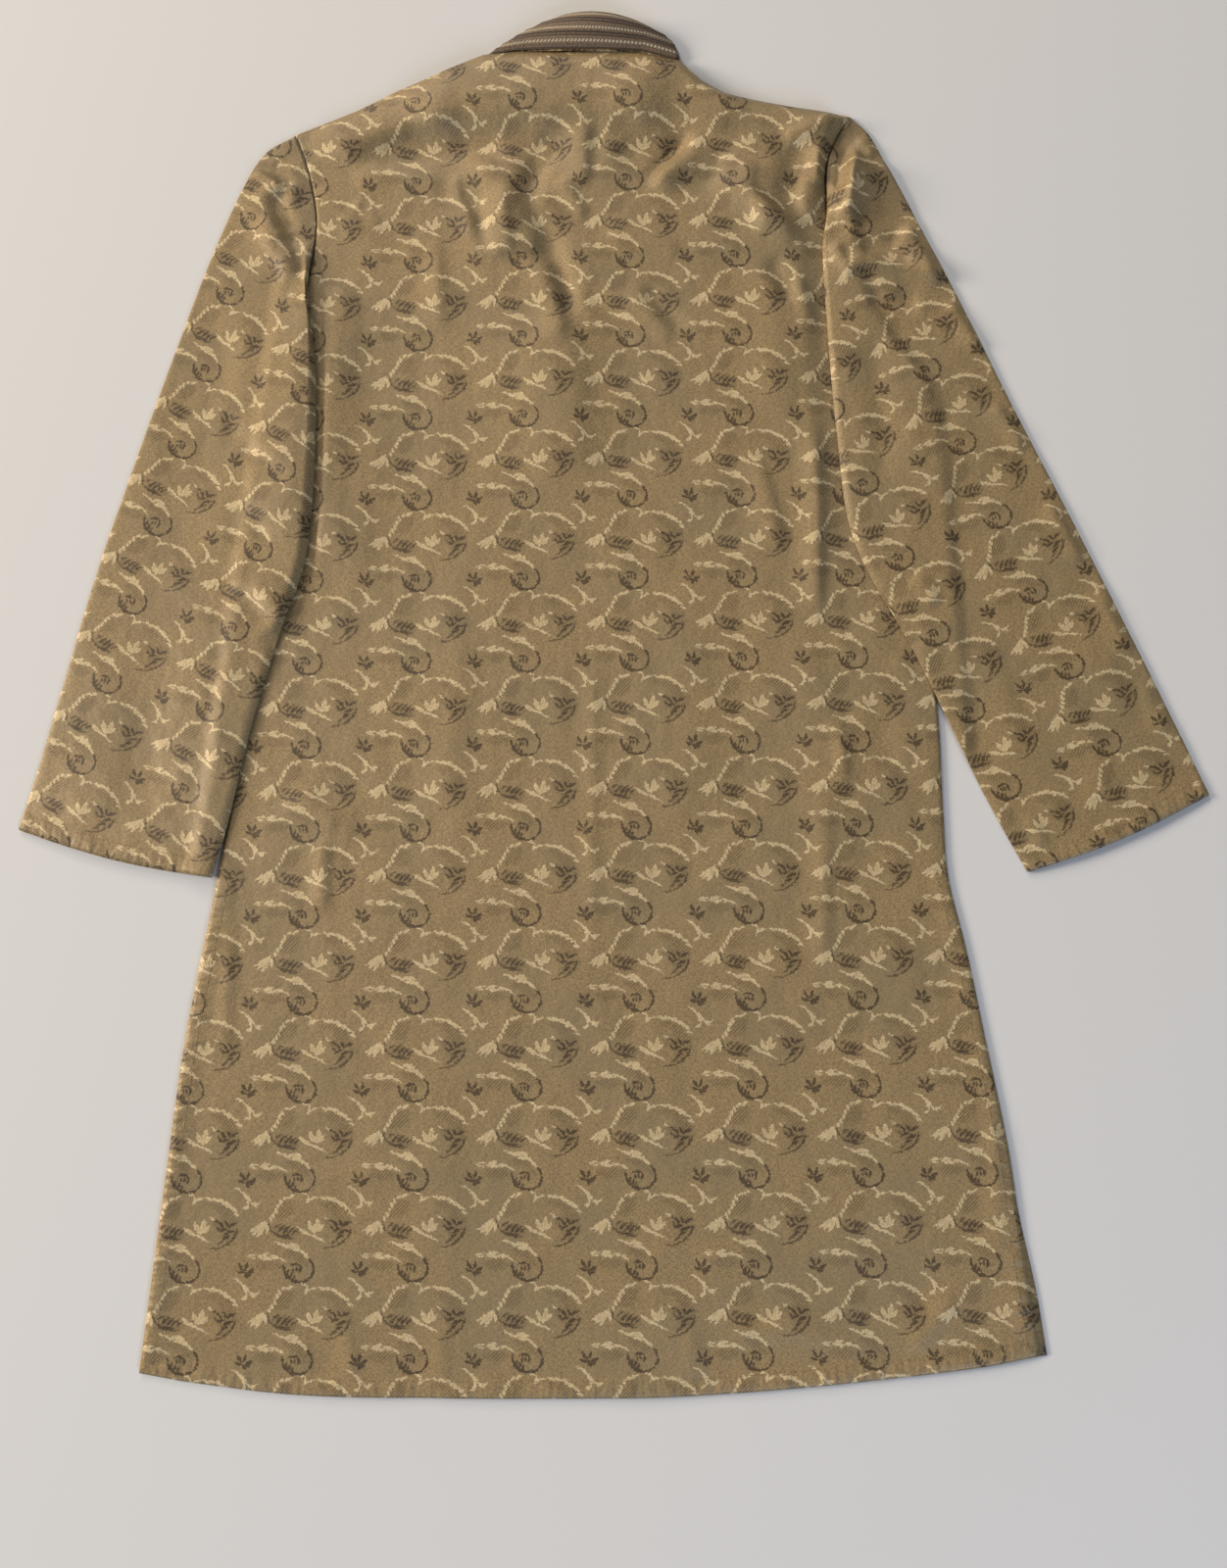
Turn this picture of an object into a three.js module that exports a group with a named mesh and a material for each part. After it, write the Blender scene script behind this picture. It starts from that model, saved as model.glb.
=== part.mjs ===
// A long kurta with a band collar, lying flat on a table with its back up.
// Millimetres. +X is to the right, +Y points from the hem to the collar, +Z is up.
// The table is z = 0, and the origin is under the middle of the garment's box.
import * as THREE from 'three';

// ---- Driving dimensions --------------------------------------------------------------

const CLOTH = 1.2;                  // wall of every piece of cloth
const GAP = 0.3;                    // space between two pieces that meet
const SEAM = 0.6;                   // the same along a curved seam, before it is cut in flats
const PLY = CLOTH + GAP;            // one layer of cloth and the space over it

// The body's edges, front and back alike, from the hem to the shoulder: x at each height y.
const LEFT_EDGE = [
  { y: -520, x: -347 },             // corner of the hem
  { y: -379, x: -331 },
  { y: -280, x: -319 },
  { y: -163, x: -298 },             // top of the side slit
  { y: -88, x: -286 },
  { y: 90, x: -264 },
  { y: 215, x: -249 },              // under the arm
  { y: 262, x: -243 },
  { y: 299, x: -238 },              // armhole
  { y: 357, x: -229.5 },
  { y: 401, x: -236 },
  { y: 434, x: -247 },              // point of the shoulder
];
const RIGHT_EDGE = [
  { y: -512, x: 308 },
  { y: -430, x: 298 },
  { y: -366, x: 291 },
  { y: -279, x: 276 },
  { y: -217, x: 265 },
  { y: -165, x: 254 },              // top of the side slit
  { y: -120, x: 252 },
  { y: -46, x: 251 },
  { y: 90, x: 244 },
  { y: 190, x: 238 },               // under the arm
  { y: 225, x: 228 },
  { y: 265, x: 199 },
  { y: 310, x: 180 },
  { y: 365, x: 176.5 },             // armhole
  { y: 403, x: 178 },
  { y: 428, x: 187 },
  { y: 443, x: 198 },               // point of the shoulder
];

// The hem, by the share of the way from its left corner to its right one.
const HEM_LINE = [
  { across: 0, y: -519 },
  { across: 0.06, y: -526 },
  { across: 0.18, y: -535 },
  { across: 0.34, y: -538 },
  { across: 0.50, y: -539 },
  { across: 0.61, y: -538 },
  { across: 0.77, y: -531 },
  { across: 0.93, y: -520 },
  { across: 1, y: -512 },
];

// The shoulders and the neckline of the back, left to right.
const TOP_LINE = [
  { x: -247, y: 434 },              // left shoulder
  { x: -198, y: 454 },
  { x: -165, y: 471 },
  { x: -131, y: 485 },
  { x: -96, y: 498 },               // left end of the neckline
  { x: -70, y: 500 },
  { x: -12, y: 499 },
  { x: 30, y: 498 },
  { x: 61, y: 491 },                // right end of the neckline
  { x: 79, y: 474 },
  { x: 97, y: 464 },
  { x: 150, y: 453 },
  { x: 174, y: 449 },
  { x: 198, y: 443 },               // right shoulder
];
const NECK_LEFT = -96;
const NECK_RIGHT = 61;

// The front stands out past the back at the foot of the right slit.
const SLIT_OVERHANG = 5;
const OVERHANG_TOP = -390;
const OVERHANG_FULL = -480;

// The front neckline dips under the back, and the neck opening runs down from it.
const NECK_DIP = 78;
const PLACKET_WIDTH = 34;
const PLACKET_LENGTH = 300;
const NECK_MIDDLE = (NECK_LEFT + NECK_RIGHT) / 2;
const PLACKET_TOP = 421;

// Each sleeve is a tube of cloth pressed flat. One row for each station from cuff to armhole:
// the fold along the top of the arm, then the fold under the arm.
const LEFT_SLEEVE = [
  { at: 0.00, outX: -450, outY: -122, inX: -301, inY: -160 },
  { at: 0.07, outX: -438, outY: -81, inX: -289, inY: -116 },
  { at: 0.18, outX: -420, outY: -13, inX: -275, inY: -52 },
  { at: 0.33, outX: -396, outY: 78, inX: -253, inY: 26 },
  { at: 0.48, outX: -368, outY: 168, inX: -234, inY: 86 },
  { at: 0.62, outX: -341, outY: 251, inX: -228, inY: 160 },
  { at: 0.75, outX: -314, outY: 329, inX: -228, inY: 224 },
  { at: 0.86, outX: -290, outY: 388, inX: -231, inY: 266 },
  { at: 0.94, outX: -272, outY: 419, inX: -235, inY: 287 },
  { at: 1.00, outX: -248, outY: 434, inX: -238.5, inY: 299 },
];
const RIGHT_SLEEVE = [
  { at: 0.00, outX: 454, outY: -105, inX: 314, inY: -162 },
  { at: 0.08, outX: 431, outY: -51, inX: 294, inY: -124 },
  { at: 0.19, outX: 400, outY: 20, inX: 269, inY: -72 },
  { at: 0.34, outX: 359, outY: 112, inX: 233, inY: 8 },
  { at: 0.50, outX: 316, outY: 206, inX: 190, inY: 95 },
  { at: 0.64, outX: 280, outY: 288, inX: 179, inY: 182 },
  { at: 0.77, outX: 248, outY: 356, inX: 174, inY: 268 },
  { at: 0.88, outX: 226, outY: 402, inX: 172, inY: 328 },
  { at: 0.95, outX: 213, outY: 428, inX: 174.5, inY: 350 },
  { at: 1.00, outX: 199, outY: 443, inX: 177, inY: 365 },
];
const CUFF_BOW = 5;                 // the cuffs bow out this far in the middle
const CUFF_BOW_REACH = 0.2;         // and the rings straighten by this station
const CAP_STATION = 0.70;           // from here on the rings turn into the armhole's curve
const SEAM_STATION = 0.93;          // from here on its loose cloth comes down to the seam
const SLEEVE_RINGS = 28;
const SLEEVE_COLUMNS = 15;
const SLEEVE_LOFT = 1.6;            // room that the loose cloth keeps inside the sleeve
const FOLD_RADIUS = 3.2;            // how far in from a fold the cloth lies level
const STEP_START = 15;              // the sleeve stays up this far outside the body's edge
const STEP_RUN = 14;                // and comes down to the table over this distance
const SEAM_START = 28;              // over its under-arm end it comes down level with the seam
const SEAM_RUN = 24;

// The collar is a band in a loop, lying flat: foot on the neckline, top edge towards +Y.
const COLLAR = [
  { at: 0.00, leftX: -95, leftY: 498.5, rightX: 60.5, rightY: 491.5, arch: 4.4 },
  { at: 0.25, leftX: -84, leftY: 506.5, rightX: 61.5, rightY: 498, arch: 7.4 },
  { at: 0.50, leftX: -70, leftY: 515.5, rightX: 59, rightY: 505, arch: 10.0 },
  { at: 0.75, leftX: -54, leftY: 524, rightX: 53, rightY: 511.5, arch: 12.2 },
  { at: 1.00, leftX: -37, leftY: 531, rightX: 43, rightY: 518, arch: 13.6 },
];
const COLLAR_RINGS = 6;
const COLLAR_COLUMNS = 20;
const COLLAR_FOLD_RADIUS = 4;
const ARCH_FULLNESS = 0.8;          // below 1 the band stands up sooner from its side folds

// The trim's raised cords, by the share of the collar's height.
const TRIM_WALL = 1.0;
const TRIM_LIFT = 0.6;              // clear of the band, whose flats are longer than the trim's
const TRIM_FOOT = 0.04;
const TRIM_CORDS = [0.16, 0.28, 0.49, 0.61, 0.80];
const CORD_WIDTH = 0.035;
const CORD_HEIGHT = 0.9;
const TRIM_ROWS = 24;
const TRIM_COLUMNS = 18;
const TRIM_MARGIN = 0.05;           // the trim stops short of the loop's two side folds

// Folds that stand up in the cloth: a crest from one end to the other, bowed sideways in the
// middle, with its half width and height.
const BACK_FOLDS = [
  { x0: 188, y0: 418, x1: 70, y1: 424, bow: 6, width: 13, height: 6.0 },
  { x0: 170, y0: 400, x1: 96, y1: 372, bow: -6, width: 13, height: 5.0 },
  { x0: 163, y0: 408, x1: 160, y1: 350, bow: 0, width: 8, height: 5.5 },
  { x0: 98, y0: 431, x1: 34, y1: 384, bow: 5, width: 11, height: 6.5 },
  { x0: 18, y0: 440, x1: -2, y1: 372, bow: -4, width: 14, height: 4.0 },
  { x0: -88, y0: 432, x1: -38, y1: 352, bow: -8, width: 13, height: 5.0 },
  { x0: -114, y0: 372, x1: -92, y1: 318, bow: 4, width: 12, height: 4.0 },
  { x0: -26, y0: 350, x1: -22, y1: 268, bow: 3, width: 15, height: 3.5 },
  { x0: -214, y0: 404, x1: -150, y1: 440, bow: 5, width: 14, height: 4.0 },
  { x0: -212, y0: 352, x1: -178, y1: 366, bow: 0, width: 11, height: 3.5 },
  { x0: 120, y0: 330, x1: 136, y1: 190, bow: 6, width: 16, height: 4.0 },
  { x0: 142, y0: 40, x1: 166, y1: -170, bow: 5, width: 15, height: 3.0 },
  { x0: 178, y0: -46, x1: 180, y1: -96, bow: 0, width: 9, height: 2.5 },
  { x0: -244, y0: -96, x1: -190, y1: -132, bow: 6, width: 11, height: 3.0 },
  { x0: -178, y0: 210, x1: -190, y1: 60, bow: -5, width: 17, height: 3.0 },
];
const LEFT_SLEEVE_FOLDS = [
  { x0: -276, y0: 394, x1: -245, y1: 312, bow: -7, width: 10, height: 6.5 },
  { x0: -262, y0: 412, x1: -246, y1: 372, bow: 5, width: 7, height: 3.5 },
  { x0: -300, y0: 300, x1: -282, y1: 200, bow: 6, width: 13, height: 2.5 },
  { x0: -352, y0: 60, x1: -318, y1: -40, bow: -8, width: 16, height: 2.0 },
];
const RIGHT_SLEEVE_FOLDS = [
  { x0: 203, y0: 418, x1: 184, y1: 350, bow: 4, width: 9, height: 6.0 },
  { x0: 198, y0: 330, x1: 226, y1: 282, bow: 5, width: 11, height: 3.5 },
  { x0: 236, y0: 200, x1: 262, y1: 120, bow: -6, width: 14, height: 2.5 },
  { x0: 356, y0: 20, x1: 392, y1: -60, bow: 6, width: 16, height: 2.0 },
];
const FOLD_TAPER = 0.22;            // share of a fold's length over which each end dies away

// The back rises over the neck, where the collar's loop lies under it.
const NECK_LIFT = 4.2;
const NECK_LIFT_REACH = 70;
const EDGE_CALM = 9;                // folds die away this far in from the body's edges
const SLEEVE_CALM = 22;             // and this far from the cloth that a sleeve covers

// Rows and columns of the body's cloth, closer where it creases more.
const BODY_ROWS = [
  { from: 0, to: 0.39, steps: 8 },
  { from: 0.39, to: 0.74, steps: 12 },
  { from: 0.74, to: 1, steps: 24 },
];
const SHOULDER_COLUMNS = 8;
const NECK_COLUMNS = 12;

// ---- Reading the tables ----------------------------------------------------------------

const mix = (a, b, share) => a + (b - a) * share;
const clamp01 = (value) => Math.min(1, Math.max(0, value));

function smoothStep(from, to, value) {
  const share = clamp01((value - from) / (to - from));
  return share * share * (3 - 2 * share);
}

// A smooth curve through one column of a table whose rows are sorted by another.
function along(rows, key, column, at) {
  const last = rows.length - 1;
  let row = 0;
  while (row < last - 1 && at > rows[row + 1][key]) {
    row += 1;
  }
  const slope = (index) => {
    const before = rows[Math.max(index - 1, 0)];
    const after = rows[Math.min(index + 1, last)];
    return (after[column] - before[column]) / (after[key] - before[key]);
  };
  const here = rows[row];
  const next = rows[row + 1];
  const run = next[key] - here[key];
  const s = clamp01((at - here[key]) / run);
  const s2 = s * s;
  const s3 = s2 * s;
  return (2 * s3 - 3 * s2 + 1) * here[column] + (s3 - 2 * s2 + s) * run * slope(row)
    + (3 * s2 - 2 * s3) * next[column] + (s3 - s2) * run * slope(row + 1);
}

// The same, with straight lines between the rows, for outlines with corners.
function straight(rows, key, column, at) {
  let row = 0;
  while (row < rows.length - 2 && at > rows[row + 1][key]) {
    row += 1;
  }
  const share = clamp01((at - rows[row][key]) / (rows[row + 1][key] - rows[row][key]));
  return mix(rows[row][column], rows[row + 1][column], share);
}

// Height of one table's folds at a point of the cloth.
function foldHeight(folds, x, y) {
  let height = 0;
  for (const fold of folds) {
    const runX = fold.x1 - fold.x0;
    const runY = fold.y1 - fold.y0;
    const length = Math.hypot(runX, runY);
    const share = ((x - fold.x0) * runX + (y - fold.y0) * runY) / (length * length);
    if (share <= 0 || share >= 1) {
      continue;
    }
    const side = ((y - fold.y0) * runX - (x - fold.x0) * runY) / length;
    const off = (side - fold.bow * Math.sin(Math.PI * share)) / fold.width;
    const taper = smoothStep(0, FOLD_TAPER, share) * smoothStep(1, 1 - FOLD_TAPER, share);
    height = Math.max(height, fold.height * taper * Math.exp(-off * off));
  }
  return height;
}

// ---- Solids from grids and tubes ---------------------------------------------------------

// A closed wall over a grid: upper(i, j) and lower(i, j) give its two faces.
function gridSolid(columns, rows, upper, lower) {
  const positions = [];
  const indices = [];
  const width = columns + 1;
  const layer = width * (rows + 1);
  for (const face of [upper, lower]) {
    for (let j = 0; j <= rows; j += 1) {
      for (let i = 0; i <= columns; i += 1) {
        positions.push(...face(i, j));
      }
    }
  }
  const quad = (a, b, c, d) => indices.push(a, b, c, a, c, d);
  for (let j = 0; j < rows; j += 1) {
    for (let i = 0; i < columns; i += 1) {
      const a = j * width + i;
      quad(a, a + 1, a + width + 1, a + width);
      quad(layer + a + width, layer + a + width + 1, layer + a + 1, layer + a);
    }
  }
  for (let i = 0; i < columns; i += 1) {
    const top = rows * width + i;
    quad(i + 1, i, layer + i, layer + i + 1);
    quad(top, top + 1, layer + top + 1, layer + top);
  }
  for (let j = 0; j < rows; j += 1) {
    const left = j * width;
    const right = left + columns;
    quad(left, left + width, layer + left + width, layer + left);
    quad(right + width, right, layer + right, layer + right + width);
  }
  return solid(positions, indices);
}

// A closed wall round a tube with open ends: outer(i, j) and inner(i, j) go round in i.
function tubeSolid(around, rings, outer, inner) {
  const positions = [];
  const indices = [];
  const layer = around * (rings + 1);
  for (const face of [outer, inner]) {
    for (let j = 0; j <= rings; j += 1) {
      for (let i = 0; i < around; i += 1) {
        positions.push(...face(i, j));
      }
    }
  }
  const quad = (a, b, c, d) => indices.push(a, b, c, a, c, d);
  for (let i = 0; i < around; i += 1) {
    const next = (i + 1) % around;
    for (let j = 0; j < rings; j += 1) {
      const a = j * around + i;
      const b = j * around + next;
      quad(a, b, b + around, a + around);
      quad(layer + a + around, layer + b + around, layer + b, layer + a);
    }
    const end = rings * around;
    quad(next, i, layer + i, layer + next);
    quad(end + i, end + next, layer + end + next, layer + end + i);
  }
  return solid(positions, indices);
}

// A closed mesh whose faces point out, also where a piece is the mirror image of another.
function solid(positions, indices) {
  if (signedVolume(positions, indices) < 0) {
    indices.reverse();
  }
  const geometry = new THREE.BufferGeometry();
  geometry.setAttribute('position', new THREE.Float32BufferAttribute(positions, 3));
  geometry.setIndex(indices);
  geometry.computeVertexNormals();
  return geometry;
}

function signedVolume(positions, indices) {
  const corner = (index) => new THREE.Vector3().fromArray(positions, 3 * indices[index]);
  let volume = 0;
  for (let index = 0; index < indices.length; index += 3) {
    volume += corner(index).dot(corner(index + 1).cross(corner(index + 2))) / 6;
  }
  return volume;
}

// ---- The body ------------------------------------------------------------------------------

const leftEdge = (y) => along(LEFT_EDGE, 'y', 'x', y);
const rightEdge = (y) => along(RIGHT_EDGE, 'y', 'x', y);

// Even steps over each stretch of a table, from 0 to 1.
function stepsOver(stretches) {
  const shares = [0];
  for (const stretch of stretches) {
    for (let step = 1; step <= stretch.steps; step += 1) {
      shares.push(mix(stretch.from, stretch.to, step / stretch.steps));
    }
  }
  return shares;
}

const SHOULDER_LEFT = TOP_LINE[0].x;
const SHOULDER_RIGHT = TOP_LINE[TOP_LINE.length - 1].x;
const topLine = (x) => straight(TOP_LINE, 'x', 'y', x);

// The share of the way across the shoulders at each column, with columns on the neck's ends.
function bodyColumns() {
  const share = (x) => (x - SHOULDER_LEFT) / (SHOULDER_RIGHT - SHOULDER_LEFT);
  return stepsOver([
    { from: 0, to: share(NECK_LEFT), steps: SHOULDER_COLUMNS },
    { from: share(NECK_LEFT), to: share(NECK_RIGHT), steps: NECK_COLUMNS },
    { from: share(NECK_RIGHT), to: 1, steps: SHOULDER_COLUMNS },
  ]);
}

// A point of the body by its share across and its share up from the hem.
function bodyPoint(across, up) {
  const height = (share) => mix(along(HEM_LINE, 'across', 'y', share),
    topLine(mix(SHOULDER_LEFT, SHOULDER_RIGHT, share)), up);
  return { x: mix(leftEdge(height(0)), rightEdge(height(1)), across), y: height(across) };
}

// How far up the back panel's underside stands at a point.
function backRise(x, y) {
  const inside = Math.min(x - leftEdge(y), rightEdge(y) - x);
  const fromTop = topLine(x) - y;
  const calm = smoothStep(0, EDGE_CALM, inside) * smoothStep(0, EDGE_CALM, fromTop);
  const bare = smoothStep(0, SLEEVE_CALM, x - sleeveReach(LEFT_SLEEVE, y))
    * smoothStep(0, SLEEVE_CALM, sleeveReach(RIGHT_SLEEVE, y) - x);
  const nearNeck = smoothStep(NECK_LEFT - NECK_LIFT_REACH, NECK_LEFT, x)
    * smoothStep(NECK_RIGHT + NECK_LIFT_REACH, NECK_RIGHT, x)
    * smoothStep(NECK_LIFT_REACH, 0, fromTop);
  return foldHeight(BACK_FOLDS, x, y) * calm * bare + NECK_LIFT * nearNeck;
}

// How far a sleeve reaches over the body at a height: nowhere above its under-arm end.
function sleeveReach(sleeve, y) {
  const last = sleeve[sleeve.length - 1];
  if (y > last.inY + SLEEVE_CALM) {
    return Math.sign(last.inX) * Infinity;
  }
  return along(sleeve, 'inY', 'inX', Math.min(last.inY, Math.max(y, sleeve[0].inY)));
}

function backPanel() {
  const across = bodyColumns();
  const up = stepsOver(BODY_ROWS);
  const face = (lift) => (i, j) => {
    const point = bodyPoint(across[i], up[j]);
    return [point.x, point.y, PLY + backRise(point.x, point.y) + lift];
  };
  return gridSolid(across.length - 1, up.length - 1, face(CLOTH), face(0));
}

// The front is flat on the table: an outline cut out of the cloth, from the left end of the
// hem round to the left armhole.
function frontPanel() {
  const rows = stepsOver(BODY_ROWS).slice(1, -1);
  const outline = bodyColumns().map((across) => {
    const { x, y } = bodyPoint(across, 0);
    return [x + SLIT_OVERHANG * across, y];
  });
  for (const up of rows) {
    const { x, y } = bodyPoint(1, up);
    outline.push([x + SLIT_OVERHANG * smoothStep(OVERHANG_TOP, OVERHANG_FULL, y), y]);
  }
  outline.push(...TOP_LINE.filter((row) => row.x > NECK_RIGHT).reverse().map(({ x, y }) => [x, y]));
  outline.push(...frontNeckline());
  outline.push(...TOP_LINE.filter((row) => row.x < NECK_LEFT).reverse().map(({ x, y }) => [x, y]));
  for (const up of rows.reverse()) {
    const { x, y } = bodyPoint(0, up);
    outline.push([x, y]);
  }
  return flatPiece(outline);
}

// The front neckline, right to left, with the placket's opening cut down from it.
function frontNeckline() {
  const half = PLACKET_WIDTH / 2;
  const points = [];
  for (let step = COLLAR_COLUMNS; step >= 0; step -= 1) {
    const share = step / COLLAR_COLUMNS;
    const { x, y } = collarPoint(share, 0);
    const fromMiddle = x - NECK_MIDDLE;
    if (Math.abs(fromMiddle) > half) {
      points.push([x, y - neckDip(share) - 2 * SEAM]);
    } else if (step === COLLAR_COLUMNS / 2) {
      points.push([NECK_MIDDLE + half, PLACKET_TOP]);
      points.push([NECK_MIDDLE + half, PLACKET_TOP - PLACKET_LENGTH]);
      points.push([NECK_MIDDLE - half, PLACKET_TOP - PLACKET_LENGTH]);
      points.push([NECK_MIDDLE - half, PLACKET_TOP]);
    }
  }
  return points;
}

function frontPlacket() {
  const half = PLACKET_WIDTH / 2 - GAP;
  const low = PLACKET_TOP - PLACKET_LENGTH + GAP;
  return flatPiece([
    [NECK_MIDDLE - half, low],
    [NECK_MIDDLE + half, low],
    [NECK_MIDDLE + half, PLACKET_TOP],
    [NECK_MIDDLE - half, PLACKET_TOP],
  ]);
}

function flatPiece(outline) {
  const shape = new THREE.Shape(outline.map(([x, y]) => new THREE.Vector2(x, y)));
  return new THREE.ExtrudeGeometry(shape, { depth: CLOTH, bevelEnabled: false });
}

// ---- Tubes pressed flat: the sleeves and the collar ------------------------------------------

// Distances across a flattened tube, with two close steps to turn each fold, and how open the
// tube is there: 0 on the fold itself, 1 where it lies level.
function tubeColumns(columns, width, radius) {
  const places = [
    { d: 0, open: 0, inset: 1 },
    { d: radius * 0.28, open: 0.72, inset: 0.55 },
    { d: radius, open: 1, inset: 0 },
  ];
  const inner = columns - 4;
  const all = [...places];
  for (let step = 1; step < inner; step += 1) {
    all.push({ d: mix(radius, width - radius, step / inner), open: 1, inset: 0 });
  }
  for (const place of [...places].reverse()) {
    all.push({ d: width - place.d, open: place.open, inset: -place.inset });
  }
  return all;
}

// A flattened tube: place(share, j) gives the cloth's middle line, heights(share, j) its lower
// and upper faces, and width(j) the distance from fold to fold.
function flatTube({ columns, rings, radius, width, place, heights }) {
  const around = 2 * columns;
  const point = (wallInset) => (i, j) => {
    const upperSide = i <= columns;
    const column = upperSide ? i : around - i;
    const wide = width(j);
    const { d, open, inset } = tubeColumns(columns, wide, radius)[column];
    const share = (d + wallInset * inset) / wide;
    const { low, high } = heights(share, j);
    const middle = (low + high) / 2;
    const half = ((high - low) / 2 - wallInset) * open;
    const { x, y } = place(share, j, upperSide);
    return [x, y, upperSide ? middle + half : middle - half];
  };
  return tubeSolid(around, rings, point(0), point(CLOTH));
}

function sleeve(rows, folds, edge) {
  const last = rows[rows.length - 1];
  const outward = Math.sign(last.inX);
  const ends = (j) => {
    const read = (column) => along(rows, 'at', column, j / SLEEVE_RINGS);
    return { out: { x: read('outX'), y: read('outY') }, in: { x: read('inX'), y: read('inY') } };
  };
  const place = (share, j) => {
    const { out, in: under } = ends(j);
    const chord = { x: mix(last.outX, last.inX, share), y: mix(last.outY, last.inY, share) };
    const turn = smoothStep(CAP_STATION, 1, j / SLEEVE_RINGS);
    const bow = CUFF_BOW * Math.sin(Math.PI * clamp01(share))
      * smoothStep(CUFF_BOW_REACH, 0, j / SLEEVE_RINGS);
    return {
      x: mix(out.x, under.x, share) + turn * (edge(chord.y) + outward * SEAM - chord.x),
      y: mix(out.y, under.y, share) - bow,
    };
  };
  const width = (j) => {
    const { out, in: under } = ends(j);
    return Math.hypot(out.x - under.x, out.y - under.y);
  };
  const heights = (share, j) => {
    const { x, y } = place(share, j);
    const outside = outward * (x - edge(y));
    const low = 2 * PLY * smoothStep(STEP_START + STEP_RUN, STEP_START, outside)
      * smoothStep(last.inY + SEAM_START + SEAM_RUN, last.inY + SEAM_START, y);
    const atSeam = smoothStep(1, SEAM_STATION, j / SLEEVE_RINGS);
    const loft = SLEEVE_LOFT * Math.sin(Math.PI * clamp01(share)) + foldHeight(folds, x, y);
    return { low, high: low + PLY + CLOTH + loft * atSeam };
  };
  return flatTube({
    columns: SLEEVE_COLUMNS, rings: SLEEVE_RINGS, radius: FOLD_RADIUS, width, place, heights,
  });
}

// ---- The collar ---------------------------------------------------------------------------

// A point of the collar's back half by its share across and its share up from the foot, which
// follows the neckline.
function collarPoint(across, up) {
  const read = (column, at) => along(COLLAR, 'at', column, at);
  const ends = (at) => mix(read('leftY', at), read('rightY', at), across);
  const foot = topLine(mix(read('leftX', 0), read('rightX', 0), across)) + SEAM;
  return {
    x: mix(read('leftX', up), read('rightX', up), across),
    y: ends(up) + (foot - ends(0)) * (1 - up),
    z: PLY + CLOTH + read('arch', up) * Math.sin(Math.PI * clamp01(across)) ** ARCH_FULLNESS,
  };
}

const neckDip = (across) => NECK_DIP * Math.sin(Math.PI * clamp01(across));

function collarBand() {
  return flatTube({
    columns: COLLAR_COLUMNS,
    rings: COLLAR_RINGS,
    radius: COLLAR_FOLD_RADIUS,
    width: (j) => collarPoint(1, j / COLLAR_RINGS).x - collarPoint(0, j / COLLAR_RINGS).x,
    place: (share, j, upperSide) => {
      const { x, y } = collarPoint(share, j / COLLAR_RINGS);
      return { x, y: upperSide ? y : y - neckDip(share) };
    },
    heights: (share, j) => ({ low: 0, high: collarPoint(share, j / COLLAR_RINGS).z }),
  });
}

function cordRelief(up) {
  let relief = 0;
  for (const cord of TRIM_CORDS) {
    const off = (up - cord) / CORD_WIDTH;
    relief = Math.max(relief, CORD_HEIGHT * Math.exp(-off * off));
  }
  return relief;
}

function collarTrim() {
  const face = (lift, raised) => (i, j) => {
    const across = mix(TRIM_MARGIN, 1 - TRIM_MARGIN, i / TRIM_COLUMNS);
    const up = mix(TRIM_FOOT, 1, j / TRIM_ROWS);
    const { x, y, z } = collarPoint(across, up);
    return [x, y, z + lift + (raised ? cordRelief(up) : 0)];
  };
  const over = face(TRIM_LIFT + TRIM_WALL, true);
  return gridSolid(TRIM_COLUMNS, TRIM_ROWS, over, face(TRIM_LIFT, false));
}

// ---- The garment -----------------------------------------------------------------------------

const jacquard = { color: 0x8f7c5c, roughness: 0.62, metalness: 0.0 };
const braid = { color: 0x5d4c3a, roughness: 0.8, metalness: 0.0 };

function piece(name, geometry, look) {
  const mesh = new THREE.Mesh(geometry, new THREE.MeshStandardMaterial(look));
  mesh.name = name;
  return mesh;
}

const garment = new THREE.Group();
garment.add(piece('front_panel', frontPanel(), jacquard));
garment.add(piece('front_placket', frontPlacket(), jacquard));
garment.add(piece('back_panel', backPanel(), jacquard));
garment.add(piece('sleeve_left', sleeve(LEFT_SLEEVE, LEFT_SLEEVE_FOLDS, leftEdge), jacquard));
garment.add(piece('sleeve_right', sleeve(RIGHT_SLEEVE, RIGHT_SLEEVE_FOLDS, rightEdge), jacquard));
garment.add(piece('collar_band', collarBand(), jacquard));
garment.add(piece('collar_trim', collarTrim(), braid));

// The origin goes under the middle of the garment's box.
const box = new THREE.Box3().setFromObject(garment);
garment.position.set(-(box.min.x + box.max.x) / 2, -(box.min.y + box.max.y) / 2, -box.min.z);

export default garment;
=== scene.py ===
# A long kurta of silky jacquard, laid flat with its back up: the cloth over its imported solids.
import math
from collections import namedtuple

import bmesh
import bpy
from mathutils import Matrix, Vector, noise


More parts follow.
